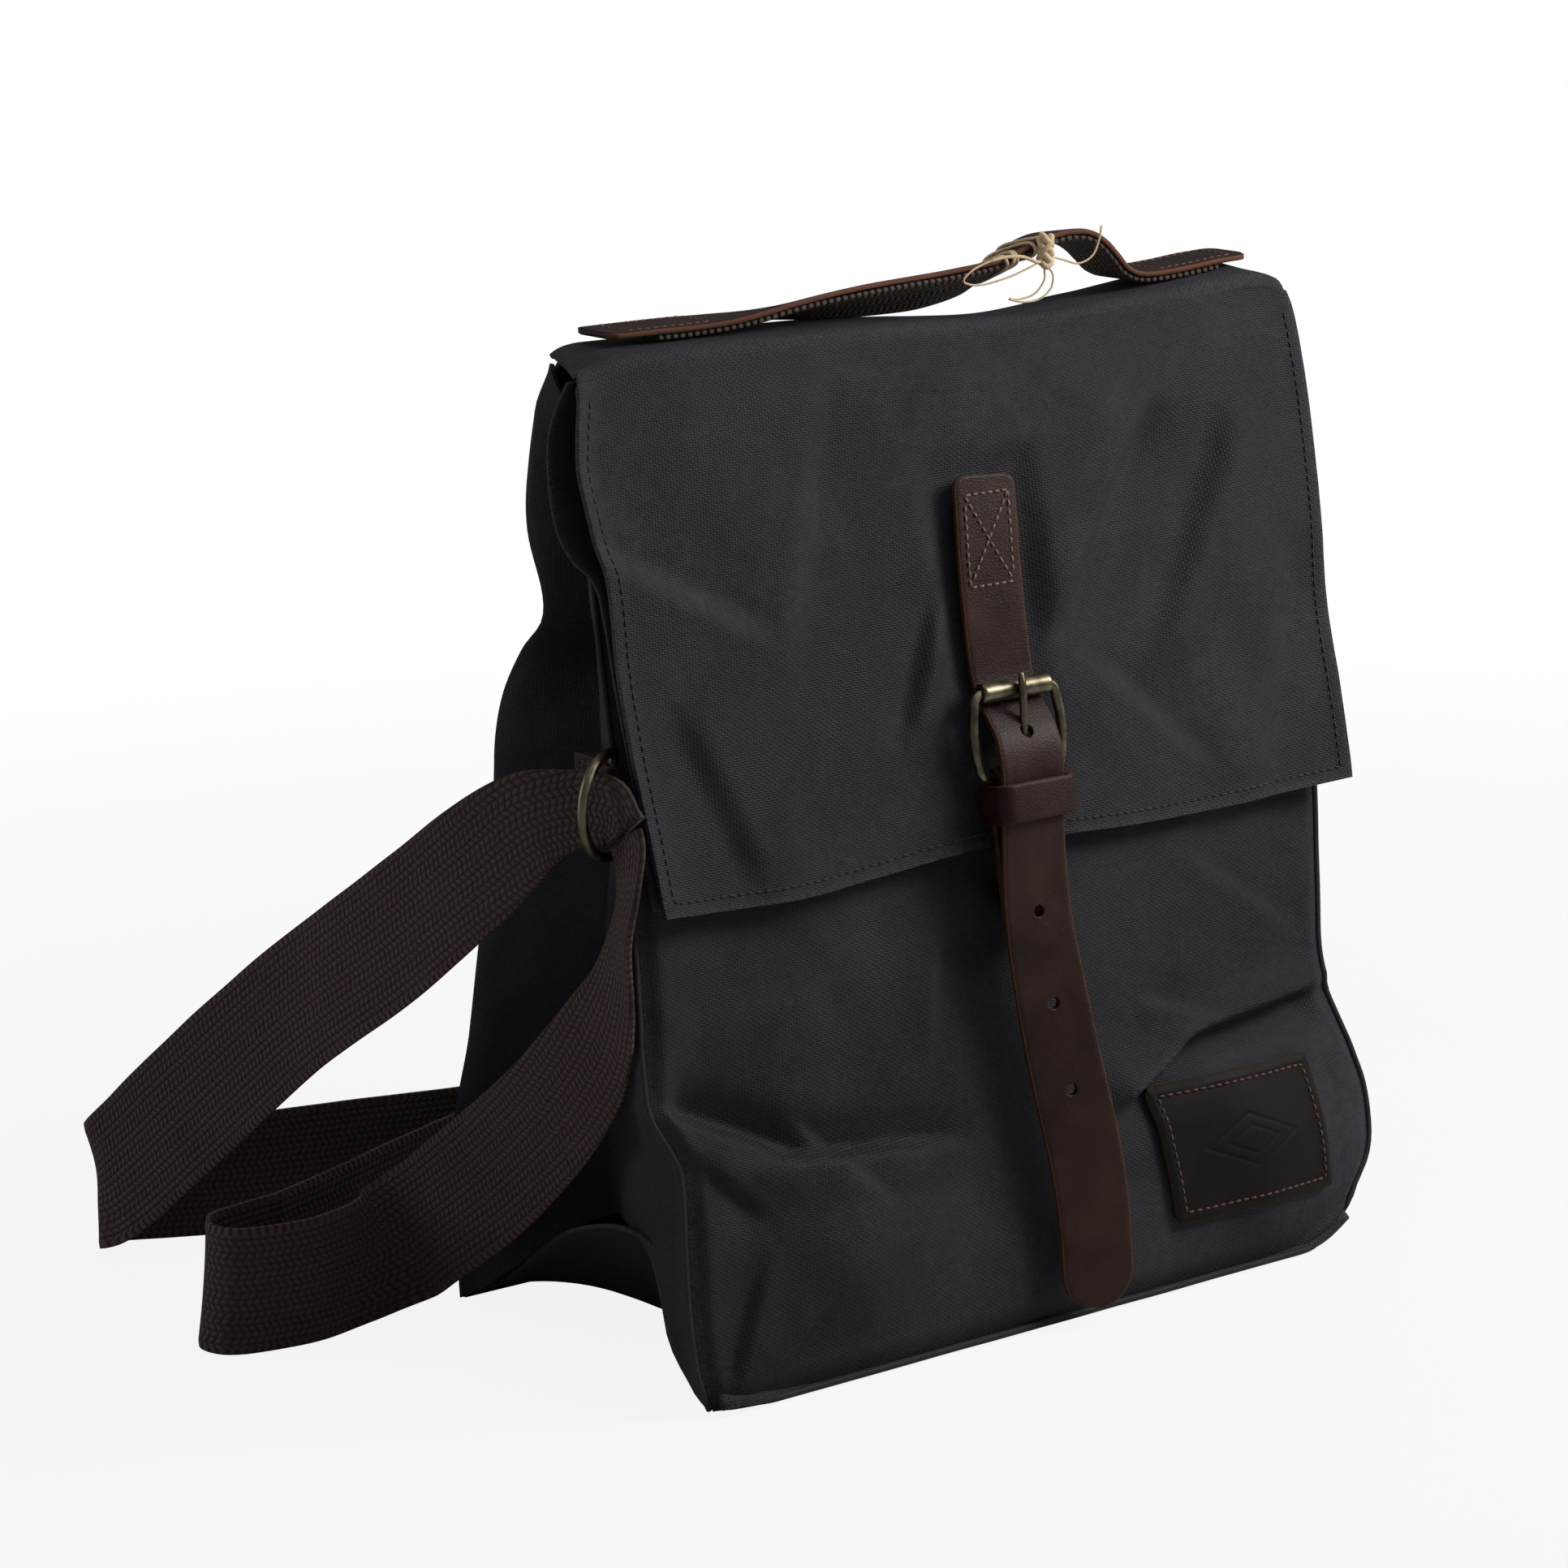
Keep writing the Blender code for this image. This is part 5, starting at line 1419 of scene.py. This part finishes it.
def shoulder_strap():
    back = webbing("strap_return", RETURN_LINE, 90, 12.0, None)
    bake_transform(back)
    loop = webbing("strap_loop", LOOP_LINE, 520, 13.0, "shoulder_strap_loop")
    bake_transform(loop)
    main = webbing("strap_main", MAIN_LINE, 260, 14.0, "shoulder_strap_main")
    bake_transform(main)


def slider():
    """A three-bar adjuster of brass rod on the strap behind the bag."""
    def point(x, z):
        return Vector((-0.0350 + x, 0.1530, 0.0266 + z))
    outline = []
    for index, (sx, sz) in enumerate(((1, 1), (-1, 1), (-1, -1), (1, -1))):
        for step in range(7):
            a = math.pi / 2 * (index + step / 6)
            outline.append(point(sx * 0.0075 + 0.0035 * math.cos(a), sz * 0.0210 + 0.0035 * math.sin(a)))
    loop = tube("slider_loop", outline, 0.0012, BRASS, closed=True, sides=10)
    bar = tube("slider_bar", [point(0, -0.0240), point(0, 0.0240)], 0.0011, BRASS, sides=10)
    piece = join([loop, bar], "slider_brass")
    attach(piece, "slider")
    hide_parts("strap_slider")


# ---------------------------------------------------------------- snap, from the frame


def snap():
    for node in ("snap_stud", "snap_base"):
        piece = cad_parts[node]
        for place in piece.material_slots:
            place.material = BRASS


# ---------------------------------------------------------------- stage


def stage():
    floor_mesh = bpy.data.meshes.new("floor")
    reach = 6.0
    floor_mesh.from_pydata([(-reach, -reach, -0.0004), (reach, -reach, -0.0004), (reach, reach, -0.0004),
                            (-reach, reach, -0.0004)], [], [(0, 1, 2, 3)])
    paper = bpy.data.materials.new("pale floor")
    paper.use_nodes = True
    shader = paper.node_tree.nodes["Principled BSDF"]
    shader.inputs["Base Color"].default_value = rgb(0.62, 0.62, 0.62)
    shader.inputs["Roughness"].default_value = 0.9
    shader.inputs["Specular IOR Level"].default_value = 0.1
    net = Net(paper.node_tree)
    near = net.add("ShaderNodeVectorMath", {0: net.add("ShaderNodeTexCoord").outputs["Object"]},
                   operation="LENGTH")
    far = net.ramp(near.outputs["Value"], 0.35, 1.10)
    seen = net.add("ShaderNodeLightPath").outputs["Is Camera Ray"]
    glow = net.add("ShaderNodeEmission", {"Color": rgb(1, 1, 1), "Strength": 1.0})
    share = net.math("MULTIPLY_ADD", far, 0.12, 0.88)
    both = net.add("ShaderNodeMixShader", {0: net.math("MULTIPLY", share, seen), 1: shader.outputs[0],
                                           2: glow.outputs[0]})
    net.put(paper.node_tree.nodes["Material Output"].inputs["Surface"], both.outputs[0])
    floor = link(floor_mesh, "floor", paper)

    world = bpy.data.worlds.new("studio")
    bpy.context.scene.world = world
    world.use_nodes = True
    tree = world.node_tree
    net = Net(tree)
    tree.nodes.clear()
    soft = net.add("ShaderNodeBackground", {"Color": rgb(0.96, 0.97, 1.0), "Strength": 0.15})
    white = net.add("ShaderNodeBackground", {"Color": rgb(1, 1, 1), "Strength": 1.0})
    seen = net.add("ShaderNodeLightPath").outputs["Is Camera Ray"]
    both = net.add("ShaderNodeMixShader", {0: seen, 1: soft.outputs[0], 2: white.outputs[0]})
    net.add("ShaderNodeOutputWorld", {0: both.outputs[0]})

    def lamp(name, at, aim, size, power):
        light = bpy.data.lights.new(name, "AREA")
        light.shape = "RECTANGLE"
        light.size, light.size_y = size
        light.energy = power
        holder = bpy.data.objects.new(name, light)
        holder.location = at
        holder.rotation_euler = (Vector(aim) - Vector(at)).to_track_quat("-Z", "Y").to_euler()
        bpy.context.scene.collection.objects.link(holder)
    lamp("key", (0.62, -0.64, 0.98), (0.02, 0, 0.18), (0.42, 0.52), 4.8)
    lamp("side", (0.55, -0.38, 0.56), (0.08, -0.05, 0.26), (0.28, 0.28), 2.9)
    lamp("top", (0.1, -0.1, 1.9), (0, 0, 0.1), (1.4, 1.4), 6)
    lamp("left_rim", (-1.5, 1.2, 0.8), (0, 0, 0.18), (0.4, 1.2), 5)


# The focal length that goes with a sensor 36 mm wide.
LENS_MM = 110.7764


def camera():
    right = Vector((0.8048, -0.5934, -0.0146))
    up = Vector((0.1530, 0.1836, 0.9710))
    back = Vector((-0.5736, -0.7837, 0.2385))
    lens = bpy.data.cameras.new("camera")
    lens.sensor_width = 36.0
    lens.lens = LENS_MM
    lens.clip_end = 50
    holder = bpy.data.objects.new("camera", lens)
    turn = Matrix((right, up, back)).transposed().to_4x4()
    holder.matrix_world = Matrix.Translation((-0.9969, -1.2829, 0.5765)) @ turn
    bpy.context.scene.collection.objects.link(holder)
    bpy.context.scene.camera = holder


camera()
stage()
bpy.context.scene.view_settings.view_transform = "Standard"
front_panel()
gusset("left_gusset_cloth", -1)
gusset("right_gusset_cloth", 1)
back_panel()
bottom_panel()
pipings()
flap_outer()
flap_lining()
flap_stitching()
closure_strap()
buckle()
chape()
keeper()
snap()
label()
handle()
twine()
side_ring("left_ring_brass", "ring_left", "left_ring", -1)
side_ring("right_ring_brass", "ring_right", "right_ring", 1)
ring_tab("left_ring_tab", "ring_tab_left", -1)
ring_tab("right_ring_tab", "ring_tab_right", 1)
shoulder_strap()
slider()
